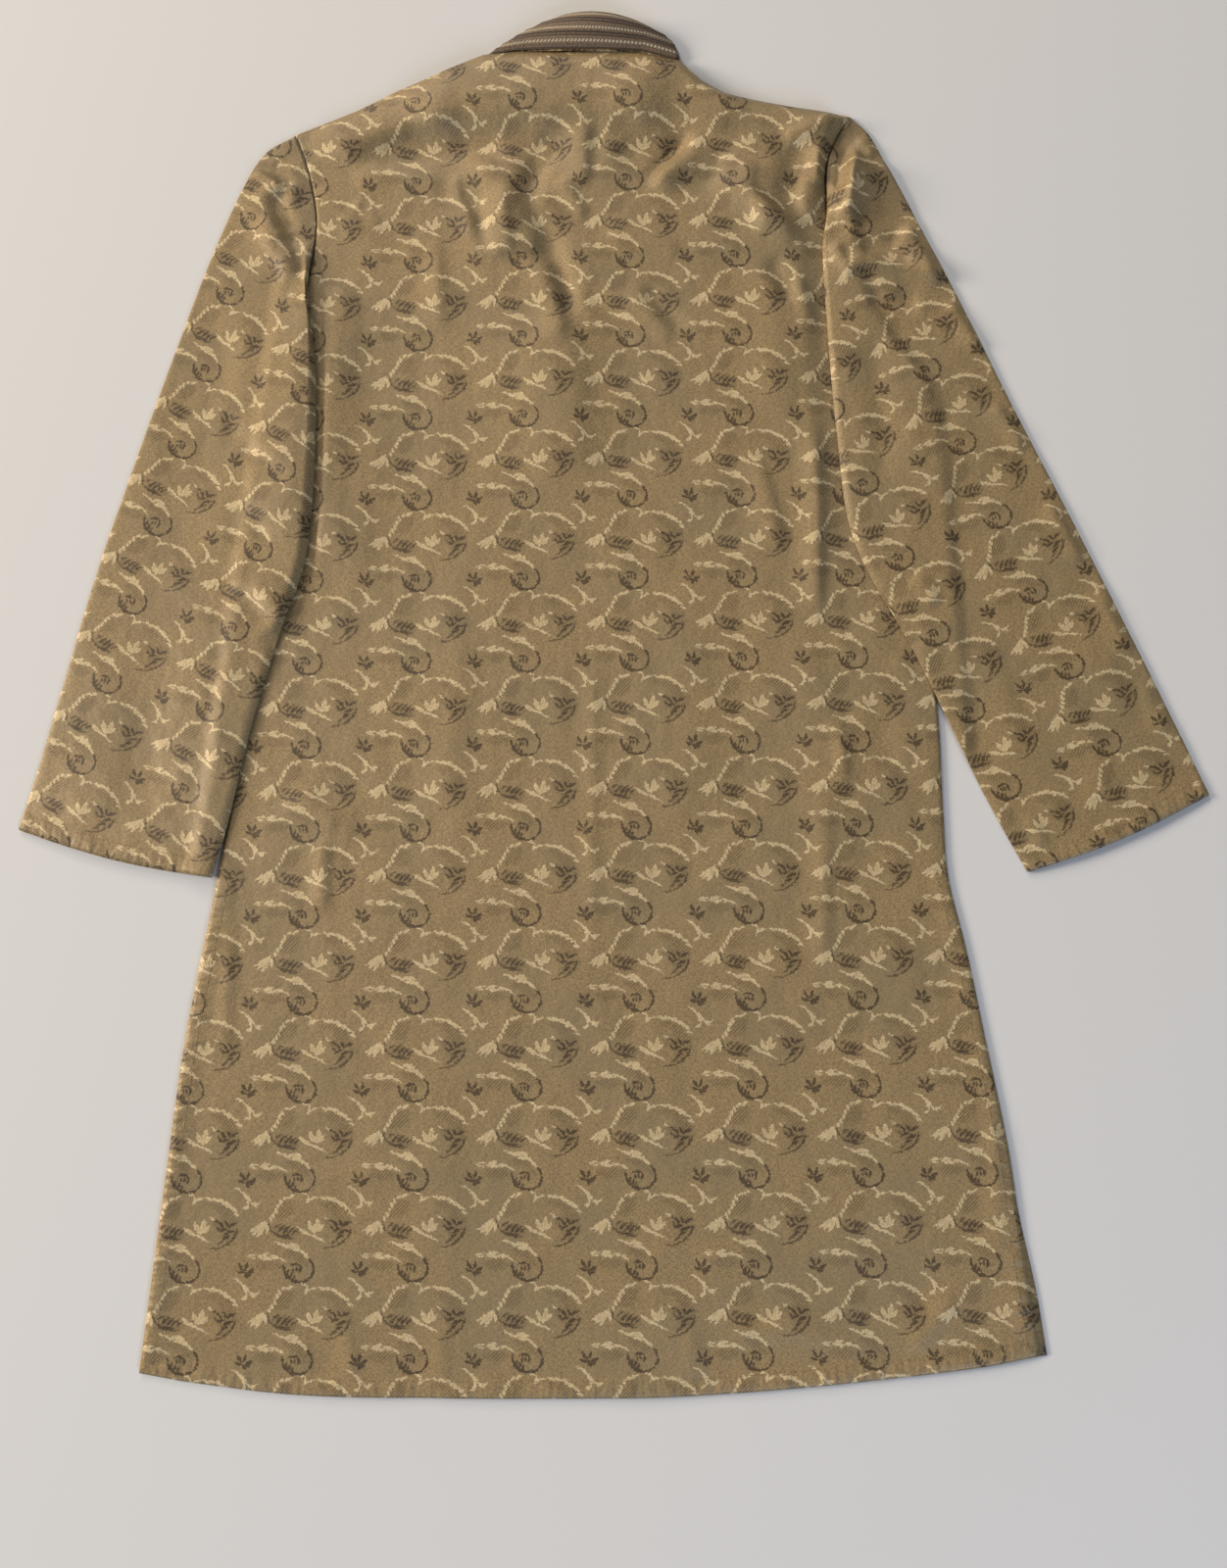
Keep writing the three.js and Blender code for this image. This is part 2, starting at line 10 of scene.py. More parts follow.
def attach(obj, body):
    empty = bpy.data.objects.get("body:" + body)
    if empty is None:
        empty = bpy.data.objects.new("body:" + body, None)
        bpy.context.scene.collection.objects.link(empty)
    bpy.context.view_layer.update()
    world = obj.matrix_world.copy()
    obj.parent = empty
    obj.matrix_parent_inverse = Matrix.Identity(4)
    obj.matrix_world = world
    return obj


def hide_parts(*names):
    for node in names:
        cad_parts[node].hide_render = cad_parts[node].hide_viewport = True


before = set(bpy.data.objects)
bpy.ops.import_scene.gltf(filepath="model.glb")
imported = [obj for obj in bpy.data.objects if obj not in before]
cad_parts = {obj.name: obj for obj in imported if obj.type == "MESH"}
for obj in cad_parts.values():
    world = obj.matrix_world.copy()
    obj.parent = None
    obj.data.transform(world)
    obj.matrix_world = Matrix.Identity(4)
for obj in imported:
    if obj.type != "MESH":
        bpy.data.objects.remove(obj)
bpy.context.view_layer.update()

# ---- Sizes: millimetres on the table, from a point on the garment's own middle line ----

MM = 0.001
LAID_AT = (-2.0, 4.0)               # that point's place in the frame

CLOTH = 1.2                         # wall of each solid
GAP = 0.3                           # space between two of them
SEAM = 0.6                          # and along a curved seam
PLY = CLOTH + GAP
SHELL = 0.7                         # the cloth that shows, turned edges and all

# The body's edges, front and back alike, from the hem to the shoulder: height y, place x.
LEFT_EDGE = [
    (-520, -347), (-379, -331), (-280, -319), (-163, -298), (-88, -286), (90, -264),
    (215, -249), (262, -243), (299, -238), (357, -229.5), (401, -236), (434, -247),
]
RIGHT_EDGE = [
    (-512, 308), (-430, 298), (-366, 291), (-279, 276), (-217, 265), (-165, 254),
    (-120, 252), (-46, 251), (90, 244), (190, 238), (225, 228), (265, 199), (310, 180),
    (365, 176.5), (403, 178), (428, 187), (443, 198),
]
# The hem: share of the way from its left corner, height y.
HEM_LINE = [
    (0, -519), (0.06, -526), (0.18, -535), (0.34, -538), (0.50, -539), (0.61, -538),
    (0.77, -531), (0.93, -520), (1, -512),
]
# The shoulders and the neckline of the back: place x, height y.
TOP_LINE = [
    (-247, 434), (-198, 454), (-165, 471), (-131, 485), (-96, 498), (-70, 500), (-12, 499),
    (30, 498), (61, 491), (79, 474), (97, 464), (150, 453), (174, 449), (198, 443),
]
NECK_LEFT = -96
NECK_RIGHT = 61
SHOULDER_LEFT = TOP_LINE[0][0]
SHOULDER_RIGHT = TOP_LINE[-1][0]
SLIT_TOP = -163                     # the side slits are open below this height

SLIT_OVERHANG = 5                   # the front stands out past the back at the right slit
OVERHANG_TOP = -390
OVERHANG_FULL = -480

NECK_DIP = 78                       # the front neckline dips this far below the back's
PLACKET_WIDTH = 34
PLACKET_LENGTH = 300
PLACKET_TOP = 421
NECK_MIDDLE = (NECK_LEFT + NECK_RIGHT) / 2

# Each sleeve from cuff to armhole: the fold along the top of the arm, then the one under it.
Station = namedtuple("Station", "at out_x out_y in_x in_y")
LEFT_SLEEVE = [Station(*row) for row in (
    (0.00, -450, -122, -301, -160),
    (0.07, -438, -81, -289, -116),
    (0.18, -420, -13, -275, -52),
    (0.33, -396, 78, -253, 26),
    (0.48, -368, 168, -234, 86),
    (0.62, -341, 251, -228, 160),
    (0.75, -314, 329, -228, 224),
    (0.86, -290, 388, -231, 266),
    (0.94, -272, 419, -235, 287),
    (1.00, -248, 434, -238.5, 299),
)]
RIGHT_SLEEVE = [Station(*row) for row in (
    (0.00, 454, -105, 314, -162),
    (0.08, 431, -51, 294, -124),
    (0.19, 400, 20, 269, -72),
    (0.34, 359, 112, 233, 8),
    (0.50, 316, 206, 190, 95),
    (0.64, 280, 288, 179, 182),
    (0.77, 248, 356, 174, 268),
    (0.88, 226, 402, 172, 328),
    (0.95, 213, 428, 174.5, 350),
    (1.00, 199, 443, 177, 365),
)]
CUFF_BOW = 5
CUFF_BOW_REACH = 0.2
CAP_STATION = 0.70
SEAM_STATION = 0.93
SLEEVE_LOFT = 2.0
FOLD_RADIUS = 3.2
STEP_START = 15
STEP_RUN = 14
SEAM_START = 28
SEAM_RUN = 24
LEFT_ROLL, RIGHT_ROLL = 5.6, 1.6    # the cloth rolls up beside the fold under the arm
ROLL_RUN = 5
ROLL_END = 62
ROLL_LOW, ROLL_HIGH = 0.25, 0.6     # less so towards the cuff
ROLL_AT_CUFF = 0.2

# The collar, from its foot to its top edge.
Ring = namedtuple("Ring", "at left_x left_y right_x right_y arch")
COLLAR = [
    Ring(0.00, -95, 498.5, 60.5, 491.5, 4.4),
    Ring(0.25, -84, 506.5, 61.5, 498, 7.4),
    Ring(0.50, -70, 515.5, 59, 505, 10.0),
    Ring(0.75, -54, 524, 53, 511.5, 12.2),
    Ring(1.00, -37, 531, 43, 518, 13.6),
]
COLLAR_FOLD_RADIUS = 4
ARCH_FULLNESS = 0.8
TRIM_WALL = 1.0
TRIM_LIFT = 0.6
TRIM_CORDS = [0.16, 0.28, 0.49, 0.61, 0.80]
CORD_WIDTH = 0.035
CORD_HEIGHT = 0.9

# Folds that stand up in the cloth: ends of the crest, how far it bows aside, half width, height.
Fold = namedtuple("Fold", "x0 y0 x1 y1 bow width height")
BACK_FOLDS = [Fold(*row) for row in (
    (188, 418, 70, 424, 6, 13, 6),
    (170, 400, 96, 372, -6, 13, 5),
    (163, 408, 160, 350, 0, 8, 5.5),
    (98, 431, 34, 384, 5, 11, 6.5),
    (18, 440, -2, 372, -4, 14, 4),
    (-88, 432, -38, 352, -8, 13, 5),
    (-114, 372, -92, 318, 4, 12, 4),
    (-26, 350, -22, 268, 3, 15, 3.5),
    (-214, 404, -150, 440, 5, 14, 4),
    (-212, 352, -178, 366, 0, 11, 3.5),
    (120, 330, 136, 190, 6, 16, 4),
    (142, 40, 166, -170, 5, 15, 3),
    (178, -46, 180, -96, 0, 9, 2.5),
    (-244, -96, -190, -132, 6, 11, 3),
    (-178, 210, -190, 60, -5, 17, 3),
)]
LEFT_SLEEVE_FOLDS = [Fold(*row) for row in (
    (-276, 394, -245, 312, -7, 10, 6.5),
    (-262, 412, -246, 372, 5, 7, 3.5),
    (-300, 300, -282, 200, 6, 13, 2.5),
    (-352, 60, -318, -40, -8, 16, 2),
)]
RIGHT_SLEEVE_FOLDS = [Fold(*row) for row in (
    (203, 418, 184, 350, 4, 9, 6),
    (198, 330, 226, 282, 5, 11, 3.5),
    (236, 200, 262, 120, -6, 14, 2.5),
    (356, 20, 392, -60, 6, 16, 2),
)]
FOLD_TAPER = 0.22
FOLD_REACH = 2.6                    # a fold has died away this many half widths from its crest
NECK_LIFT = 4.2
NECK_LIFT_REACH = 70
EDGE_CALM = 9
LEFT_EDGE_CALM = 36
LEFT_BARE = 9
SLEEVE_CALM = 22
LEFT_LOW, LEFT_CALM = 50, 190       # the back fills out late beside the left sleeve

# Softer creases laid over those, ridges above 0 and troughs below. A crease that leans to its
# left, below 0, is wider on its right.
LOW_LOFT, HIGH_LOFT = 0.9, 4.4      # how far the cloth lies off the solid, low and high up
LOFT_START, LOFT_FULL = 40, 340
CARRIED = 0.45                      # share of the folds above that stays under them
Wave = namedtuple("Wave", "height size seed")
BACK_SLACK = [Wave(0.9, 55, 3.1), Wave(0.4, 21, 7.7)]
SLEEVE_SLACK = [Wave(0.7, 45, 0.0), Wave(0.3, 18, 5.0)]
SLEEVE_SINK = -0.6                  # the sleeve's upper side sinks no lower than this
Crease = namedtuple("Crease", Fold._fields + ("lean",))
BACK_CREASES = [Crease(*row) for row in (
    # the yoke, which slopes up to the collar, and the hollow under it
    (-260, 405, -110, 450, 4, 24, 6, 0.45),
    (-170, 445, 70, 450, 2, 26, 8, 0.45),
    (-10, 450, 205, 430, 4, 22, 3.4, 0.4),
    (-195, 425, -20, 415, 3, 13, -3.4, 0),
    (0, 415, 120, 420, -3, 12, -2.6, 0),
    # beside the left armhole and sleeve
    (-240, 410, -195, 370, 2, 8, -4, 0),
    (-235, 385, -190, 372, 0, 8, 3, 0),
    (-230, 375, -212, 300, 0, 9, -3.2, 0),
    (-221, 330, -224, 60, 0, 16, 4.5, 0.75),
    # over the left shoulder blade
    (-205, 400, -120, 385, 4, 11, 3, -0.3),
    (-120, 400, -100, 345, -4, 7, 2.8, -0.3),
    (-100, 385, -90, 320, -3, 6, -2.4, 0),
    (-85, 385, -80, 320, 3, 12, 4.2, -0.35),
    (-135, 350, -130, 265, 0, 8, 1.8, -0.2),
    # the long slanting fold and the valley on its right
    (-110, 415, -45, 325, 5, 13, 5, -0.3),
    (-50, 335, -35, 250, 2, 11, 3.6, -0.3),
    (-35, 435, -65, 365, -3, 9, -4, 0),
    (-68, 380, -22, 270, 3, 10, -4.4, 0),
    (-15, 440, -18, 380, 0, 9, 3.8, -0.3),
    (-35, 395, -15, 355, 0, 7, 2.6, -0.2),
    (-35, 285, -30, 140, 3, 30, 4.2, -0.4),
    # over the right shoulder blade
    (70, 430, 30, 385, 0, 6, -2.8, 0),
    (80, 430, 35, 378, 0, 8, 3.8, 0.3),
    (90, 410, 145, 370, 2, 8, 3.2, -0.2),
    (85, 395, 155, 335, 3, 11, 5, -0.35),
    (110, 395, 172, 340, 2, 9, -5, 0),
    (112, 410, 130, 338, 0, 22, 3.4, 0.6),
    (190, 440, 138, 418, 0, 8, 3.6, 0),
    (155, 425, 145, 370, 0, 12, -4.8, 0),
    (170, 422, 172, 345, 0, 5, 4.2, -0.2),
    (130, 325, 148, 285, 0, 8, -2.6, 0),
    (150, 310, 165, 262, 0, 6, 2.4, -0.2),
    # small ones across the middle of the back
    (0, 350, 65, 328, 0, 8, 1.8, 0),
    (-20, 300, 25, 258, 0, 7, -1.6, 0),
    (15, 300, 55, 255, 0, 8, 1.6, 0),
    (30, 305, 62, 262, 0, 7, -2.2, 0),
    # upright ones down the body
    (165, 195, 160, 30, 0, 8, 3.4, -0.4),
    (182, 195, 185, 85, 0, 5, -1.6, 0),
    (110, 175, 135, 85, 2, 9, 2.4, -0.3),
    (60, 90, 60, -135, 5, 17, 1, -0.2),
    (-115, 90, -110, -165, -6, 20, 1, -0.2),
    (-12, 30, -15, -245, 0, 6, 0.9, -0.2),
    (172, -40, 178, -98, 0, 6, 2, -0.2),
    (162, -98, 158, -235, 0, 8, 1.6, -0.2),
    (215, 5, 252, -32, 2, 6, 2, 0),
    (210, -20, 210, -88, 0, 9, -1.2, 0),
    # by the left cuff and slit
    (-250, -98, -205, -126, 3, 7, 2.2, 0),
    (-218, -130, -217, -190, 0, 6, 2, -0.2),
    (-207, -200, -205, -250, 0, 6, -1.4, 0),
    (-290, -130, -288, -300, 0, 6, 1.6, -0.2),
    (-305, -135, -285, -165, 0, 6, -1.4, 0),
    # pulls across the skirt
    (0, -190, 60, -193, 0, 5, -0.9, 0),
    (-230, -382, -110, -376, 0, 6, 0.9, 0),
    (20, -436, 105, -438, 0, 5, 0.9, 0),
    (280, -330, 282, -450, 0, 6, 1.2, -0.2),
    # where the hem drags
    (-285, -445, -218, -525, 4, 8, 1.6, -0.2),
    (-298, -410, -245, -485, 3, 6, -1.2, 0),
    (-198, -475, -190, -528, 0, 6, 1.6, -0.2),
    (-128, -485, -125, -530, 0, 6, 1.2, -0.2),
    (55, -490, 58, -528, 0, 7, 1.2, -0.2),
    (80, -493, 160, -496, 2, 6, 1.2, 0),
    (248, -468, 212, -508, 0, 7, 2, 0.2),
    (230, -460, 200, -485, 0, 6, -1.4, 0),
)]
LEFT_SLEEVE_CREASES = [Crease(*row) for row in (
    # the cap, folded over like an S
    (-283, 402, -255, 382, 2, 7, 4, -0.3),
    (-262, 412, -250, 388, 0, 6, -3.4, 0),
    (-266, 388, -250, 350, 0, 7, -3.4, 0),
    (-272, 368, -242, 305, 4, 9, 3.8, -0.4),
    (-255, 350, -238, 310, 0, 6, -3, 0),
    # dents along the top of the arm
    (-318, 285, -325, 235, 0, 9, -2.4, 0),
    (-332, 225, -335, 155, 0, 10, -2.2, 0),
    (-306, 300, -338, 60, 0, 22, -2.4, 0),
    (-338, 80, -364, -130, 0, 24, -2.6, 0),
    (-365, -35, -350, -90, 2, 7, -1.2, 0),
    # the bend of the elbow
    (-298, 205, -292, 172, 3, 8, -1.5, 0),
    (-290, 182, -240, 146, -3, 9, -1.5, 0),
    (-288, 205, -248, 160, -4, 12, 0.8, -0.2),
    (-280, 132, -262, 95, 0, 8, -1.4, 0),
    (-290, 62, -262, 30, 2, 8, -1.8, 0),
    (-275, 72, -240, 38, -3, 9, 1.4, -0.2),
    (-262, 28, -252, 8, 0, 6, -1.6, 0),
    # the swell along the inner side
    (-252, 275, -256, 95, 6, 22, 1.6, -0.5),
    (-276, 100, -310, -140, -6, 26, 0.8, -0.5),
)]
RIGHT_SLEEVE_CREASES = [Crease(*row) for row in (
    # the cap and the deep gap beside the armhole
    (194, 420, 184, 375, 0, 5, -5, 0),
    (200, 422, 190, 345, 0, 7, 4.2, -0.3),
    (202, 425, 216, 408, 0, 5, 2.4, 0),
    (194, 408, 200, 330, 0, 24, 4.2, 0.6),
    (196, 372, 240, 338, 0, 14, -3.8, 0),
    (178, 335, 195, 305, 0, 6, 3, 0),
    # the band across it
    (200, 332, 245, 320, 0, 9, -3.2, 0),
    (187, 320, 270, 305, 4, 10, 5.6, 0.35),
    (205, 292, 250, 286, 0, 8, -2.4, 0),
    # folds that lean out along the top of the arm
    (235, 355, 265, 298, 0, 7, 2.6, -0.3),
    (268, 290, 294, 245, 0, 7, 3, -0.3),
    (300, 205, 325, 162, 2, 7, 2.8, -0.3),
    (340, 125, 366, 72, 0, 7, 2.8, -0.3),
    (375, 55, 400, 0, 0, 7, 2, -0.3),
    (405, -15, 425, -60, 0, 7, 1.6, -0.3),
    # the inner side and the cuff
    (210, 270, 212, 120, 2, 11, -1.8, 0),
    (235, 68, 252, 42, 0, 8, 2.8, -0.2),
    (206, 55, 236, 8, 0, 8, -2.6, 0),
    (285, 25, 310, -95, 4, 13, 1.2, -0.2),
    (350, -20, 375, -115, 3, 10, 1.2, -0.2),
    (315, -118, 328, -146, 0, 6, 1.6, -0.2),
)]

# ---- The weave: the size of its repeat, and where one swirl's middle lies on each piece ------

REPEAT_ACROSS = 83.73
REPEAT_UP = 64.39
Grain = namedtuple("Grain", "x y turn")
BODY_GRAIN = Grain(-65.0, 3.8, 0.0)
LEFT_GRAIN = Grain(-386.0, -8.7, math.radians(-15.9))
RIGHT_GRAIN = Grain(351.3, -6.4, math.radians(23.05))
COLLAR_GRAIN = Grain(-12.0, 470.0, 0.0)

# One repeat as strokes like long leaves: tip to tip in mm from the swirl's middle, how far the
# stroke bows to its left, and its half width.
Stroke = namedtuple("Stroke", "x0 y0 x1 y1 bow half")
UPPER_LIGHT = [Stroke(*row) for row in (
    # the bough over the swirl
    (-17.2, 19.8, -12.4, 18, 0.2, 0.65),
    (-13.4, 18.6, -6.6, 15, 0.3, 0.95),
    (-9.6, 16.4, 1.8, 16.4, 1, 1.45),
    (-6.6, 14.4, 2.6, 13.2, 0.6, 1.25),
    (-3, 18.6, 1, 14.6, 0.4, 0.9),
    (-0.4, 14.6, 5.2, 10.4, 0.5, 1.2),
    (3, 12, 8, 7.4, 0.5, 0.95),
    # the bough beside it
    (-37.6, 9.6, -29.4, 10.4, 0.5, 0.65),
    (-36.4, 9, -30.6, 8.4, -0.2, 0.6),
    (-29.4, 8.8, -20.8, 11.2, 0.6, 1.15),
    (-28, 8.4, -18.6, 8.4, -0.4, 1),
    (-24.6, 10.4, -21.6, 6.6, 0, 0.95),
    (-20.6, 9.6, -13, 7.6, 0.5, 0.95),
    (-18.2, 7.2, -15.4, 9.6, 0, 0.75),
    (-14.8, 8.4, -8.4, 5, 0.4, 0.7),
    # the forked twig
    (-47.6, -5.6, -40.4, -9.6, 0.6, 0.65),
    (-43, -8, -34, -17.4, 0.7, 0.95),
    (-35.6, -15.8, -27.4, -15.4, -1.8, 1),
    (-35, -16.6, -30.4, -19.8, 0.3, 1),
    (-39.6, -11.4, -36.8, -19, 0.6, 0.85),
    (-36.4, -17.6, -41.4, -20.8, 0.8, 1.05),
)]
UPPER_DARK = [Stroke(*row) for row in (
    # the swirl: its ring, the hook inside it and the fringe on its left
    (6.8, 8.4, 11.6, 0.6, 1.2, 0.95),
    (11.8, 2.4, 8.4, -6.8, 1.1, 1),
    (10, -5.6, -1, -9, 1.2, 0.95),
    (-10.4, 4.4, -8.6, -3.6, -0.5, 0.9),
    (-10, -0.6, -4.4, -7.6, -0.7, 1.35),
    (-7, -6.4, 2, -8.8, -0.5, 1.3),
    (-8.8, -4.6, -6.6, 0.4, -0.4, 0.9),
    (-6, -6.4, -4.2, -1.4, -0.4, 1.05),
    (-3.4, -7, -2.2, -3.4, -0.3, 0.8),
    (-5.8, 2.6, 1.8, 3, 0.8, 1),
    (1.4, 3.6, 1.2, -2.8, 0.8, 1),
    (-3.6, 1.8, -3.2, -1.6, 0.2, 0.75),
    (-1.2, 2.2, -0.8, -1.8, 0.2, 0.75),
    # the sprig
    (-43.4, 5.8, -39.2, -0.8, -0.5, 1.1),
    (-36.8, 5.6, -38.8, -0.6, 0.4, 1.15),
    (-45, -0.2, -38.8, -2.2, -0.4, 1),
    (-31.8, 1, -38, -2.2, 0.5, 1.3),
    (-38.6, -1, -36.6, -6, -0.4, 1.1),
    (-33.2, -3, -37.8, -3.4, 0.3, 0.9),
)]
LOWER_LIGHT = [Stroke(*row) for row in (
    # leaves like small flames up the left side of the cloud
    (-19.8, -30.4, -20.6, -26.4, 0.3, 0.95),
    (-17.8, -27.8, -18.4, -23.4, 0.4, 1.1),
    (-15.6, -24.6, -16.8, -20.4, 0.3, 1),
    (-14.6, -21.4, -14.6, -17, 0.5, 1.15),
    (-12.2, -18.4, -13.6, -14, 0.3, 1),
    (-11.6, -14.6, -7.8, -12.6, 0.5, 1),
    (-8, -14.4, -2.6, -11.2, 0.7, 0.95),
    # the horns at the top
    (1.8, -10, 7.2, -11.6, 0.4, 0.7),
    (6.8, -10.8, 5.4, -16.6, 0.9, 0.7),
    (5.2, -17.8, 15, -13.2, 1.6, 0.75),
    # the bough down its right side
    (15, -12.2, 20.6, -15.4, 0.4, 0.85),
    (19.2, -13.4, 25.2, -15.4, 0.7, 1.15),
    (23.8, -14.2, 29.8, -17, 0.7, 1.25),
    (27.2, -17.4, 33, -17.2, 0.6, 1),
    (29.4, -18.8, 36, -20.4, 0.9, 1.2),
    (33.8, -21, 38.8, -23, 0.8, 1.1),
    (36.2, -24.2, 41, -26, 0.5, 0.95),
    (18.6, -26.2, 23.2, -28.6, -0.6, 0.7),
    # the tulip and the leaf under it
    (7.4, -29.6, 12.2, -38.8, -0.6, 1.6),
    (14.8, -27.6, 12.4, -39, 0.3, 1.9),
    (18.8, -32.2, 12.4, -37.6, 0.7, 1.4),
    (-0.6, -33.8, 9.8, -40.4, -0.4, 1.35),
    (4.8, -38, 19.8, -45, 0.4, 0.85),
    # the fan flower
    (-23.6, -29.2, -36.8, -37.6, 0.6, 1.3),
    (-24, -29.8, -30.2, -41.4, 0.2, 1.6),
    (-24.2, -30.4, -22.8, -39.2, 0.8, 1.2),
    (-25, -31, -34, -39.8, 0, 1.3),
)]
LOWER_DARK = [Stroke(*row) for row in (
    # the outline of the cloud's foot, left and right
    (-21.6, -30, -18.6, -38, -0.9, 0.8),
    (-19.4, -36.6, -10.4, -41.8, -0.8, 0.9),
    (-12.4, -41.2, -2, -42.2, -0.4, 0.6),
    (38.8, -35, 35, -43.4, 0.8, 0.9),
    (36.2, -41.8, 27.4, -48, 0.7, 0.85),
    (29.6, -47.4, 18.4, -49.2, 0.5, 0.55),
    # leaves at the left foot
    (-18, -35.2, -12.6, -31.8, 0.6, 0.9),
    (-15, -38.2, -8.8, -32.4, 0.7, 1.1),
    (-11.4, -39.4, -5.2, -32.8, 0.6, 1.1),
    (-8, -39.8, -2.2, -34.2, 0.6, 1),
    (-4.4, -39.6, 0.6, -35.8, 0.5, 0.8),
    (-15.4, -39.6, -5, -40.6, -0.3, 0.7),
    # leaves at the right foot
    (20.2, -27.8, 25, -30.6, 0.5, 0.8),
    (24.6, -29.6, 29.4, -35.4, 0.6, 1),
    (29.6, -29.2, 32.2, -34, 0.4, 1),
    (32.2, -34, 39.2, -30.6, 0.7, 1.1),
    (24.8, -37.6, 31.8, -35.2, 0.5, 0.9),
    (29.2, -39.6, 37.6, -36.4, 0.7, 1.15),
    (27.6, -43.4, 33.8, -40, 0.6, 1),
    (24.6, -46.6, 29.6, -43.6, 0.5, 0.8),
    (23.4, -33, 27, -36.8, -0.3, 0.7),
)]
# Broad strokes: where the ground is twilled, and where it is shaded behind the leaves.
UPPER_TWILL = [Stroke(*row) for row in (
    (-33, 3.4, -11, 2.8, -0.4, 4.4),
    (-11, 13, 7, 6.8, 0.6, 3.8),
    (-5, 9, 10, 1, 1, 2.6),
)]
LOWER_TWILL = [Stroke(*row) for row in (
    (-17, -28, -2, -15, 0, 6.4),
    (14, -17, 41, -25, 1, 3.8),
    (23, -22, 41, -32, 1, 3.6),
)]
LOWER_SHADE = [Stroke(*row) for row in (
    (-18, -36, 1, -39.6, -1, 4),
    (19, -30, 42, -37, 0.5, 5.5),
    (26, -38, 38, -42, 0, 5),
)]
# Windows in mm that hold each half of the repeat whole.
UPPER_WINDOW = (-18.0, 2.0)
LOWER_WINDOW = (4.0, -29.0)


# ---- Reading the tables ----

def mix(start, end, share):
    return start + (end - start) * share


def clamp(value):
    return min(1.0, max(0.0, value))


def smooth(start, end, value):
    share = clamp((value - start) / (end - start))
    return share * share * (3 - 2 * share)


def along(rows, at, column=1):
    """A smooth curve through one column of a table sorted by its first."""
    last = len(rows) - 1
    row = 0
    while row < last - 1 and at > rows[row + 1][0]:
        row += 1
    here, after = rows[row], rows[row + 1]
    run = after[0] - here[0]

    def slope(index):
        low, high = rows[max(index - 1, 0)], rows[min(index + 1, last)]
        return (high[column] - low[column]) / (high[0] - low[0])

    s = clamp((at - here[0]) / run)
    s2, s3 = s * s, s * s * s
    return ((2 * s3 - 3 * s2 + 1) * here[column] + (s3 - 2 * s2 + s) * run * slope(row)
            + (3 * s2 - 2 * s3) * after[column] + (s3 - s2) * run * slope(row + 1))


def straight(rows, at):
    row = 0
    while row < len(rows) - 2 and at > rows[row + 1][0]:
        row += 1
    share = clamp((at - rows[row][0]) / (rows[row + 1][0] - rows[row][0]))
    return mix(rows[row][1], rows[row + 1][1], share)


def crease(fold, x, y, lean=0.0):
    """One fold's height at a point, 0 past its ends."""
    run_x, run_y = fold.x1 - fold.x0, fold.y1 - fold.y0
    length = math.hypot(run_x, run_y)
    share = ((x - fold.x0) * run_x + (y - fold.y0) * run_y) / (length * length)
    if share <= 0 or share >= 1:
        return 0.0
    side = ((y - fold.y0) * run_x - (x - fold.x0) * run_y) / length
    off = side - fold.bow * math.sin(math.pi * share)
    off /= fold.width * (1 + math.copysign(lean, off * lean))
    if abs(off) > FOLD_REACH:
        return 0.0
    taper = smooth(0, FOLD_TAPER, share) * smooth(1, 1 - FOLD_TAPER, share)
    return fold.height * taper * math.exp(-off * off)


def relief(folds, creases, x, y):
    carried = CARRIED * max(crease(fold, x, y) for fold in folds)
    return carried + sum(crease(fold, x, y, fold.lean) for fold in creases)


def slackness(waves, x, y, seed=0.0):
    """Slow unevenness of cloth that lies by itself."""
    return sum(wave.height * noise.noise(Vector((x / wave.size, y / wave.size, wave.seed + seed)))
               for wave in waves)


# ---- Making cloth ----

MERGED = 0.00001                    # corners this close are one, in metres
ON_CUT = 0.0000001                  # and this close to a cut lie on it


def lay_cloth(name, columns, rows, place, threads, rims, closed=False, shell=SHELL, cut=None):
    """A grid of cloth whose corner (u, v) goes to place(u, v) in mm. Its two maps, in metres, are
    the threads' own directions and the way along and in from the nearest sewn edge. A cut is a
    function that takes faces out of it."""
    cloth = bmesh.new()
    bmesh.ops.create_grid(cloth, x_segments=columns, y_segments=rows, size=0.5)
    thread_map = cloth.loops.layers.uv.new("threads")
    rim_map = cloth.loops.layers.uv.new("rims")
    maps = {}
    for corner in cloth.verts:
        u, v = corner.co.x + 0.5, corner.co.y + 0.5
        spot = place(u, v)
        corner.co = ((spot[0] + LAID_AT[0]) * MM, (spot[1] + LAID_AT[1]) * MM, spot[2] * MM)
        maps[corner] = (Vector(threads(u, v, spot)) * MM, Vector(rims(u, v, spot)) * MM)
    for face in cloth.faces:
        face.smooth = True
        for loop in face.loops:
            loop[thread_map].uv, loop[rim_map].uv = maps[loop.vert]
    if closed:
        bmesh.ops.remove_doubles(cloth, verts=cloth.verts, dist=MERGED)
        bmesh.ops.recalc_face_normals(cloth, faces=cloth.faces)
    if cut:
        cut(cloth)
    piece = finish_mesh(name, cloth)
    wall = piece.modifiers.new("wall", "SOLIDIFY")
    wall.thickness = shell * MM
    wall.offset = -1
    return piece


def finish_mesh(name, made):
    mesh = bpy.data.meshes.new(name)
    made.to_mesh(mesh)
    made.free()
    piece = bpy.data.objects.new(name, mesh)
    bpy.context.collection.objects.link(piece)
    return piece


def grain_map(grain):
    """Places on the cloth along its own threads, from the middle of one swirl."""
    cos, sin = math.cos(grain.turn), math.sin(grain.turn)

    def threads(u, v, spot):
        x, y = spot[0] - grain.x, spot[1] - grain.y
        return (x * cos + y * sin, y * cos - x * sin)
    return threads


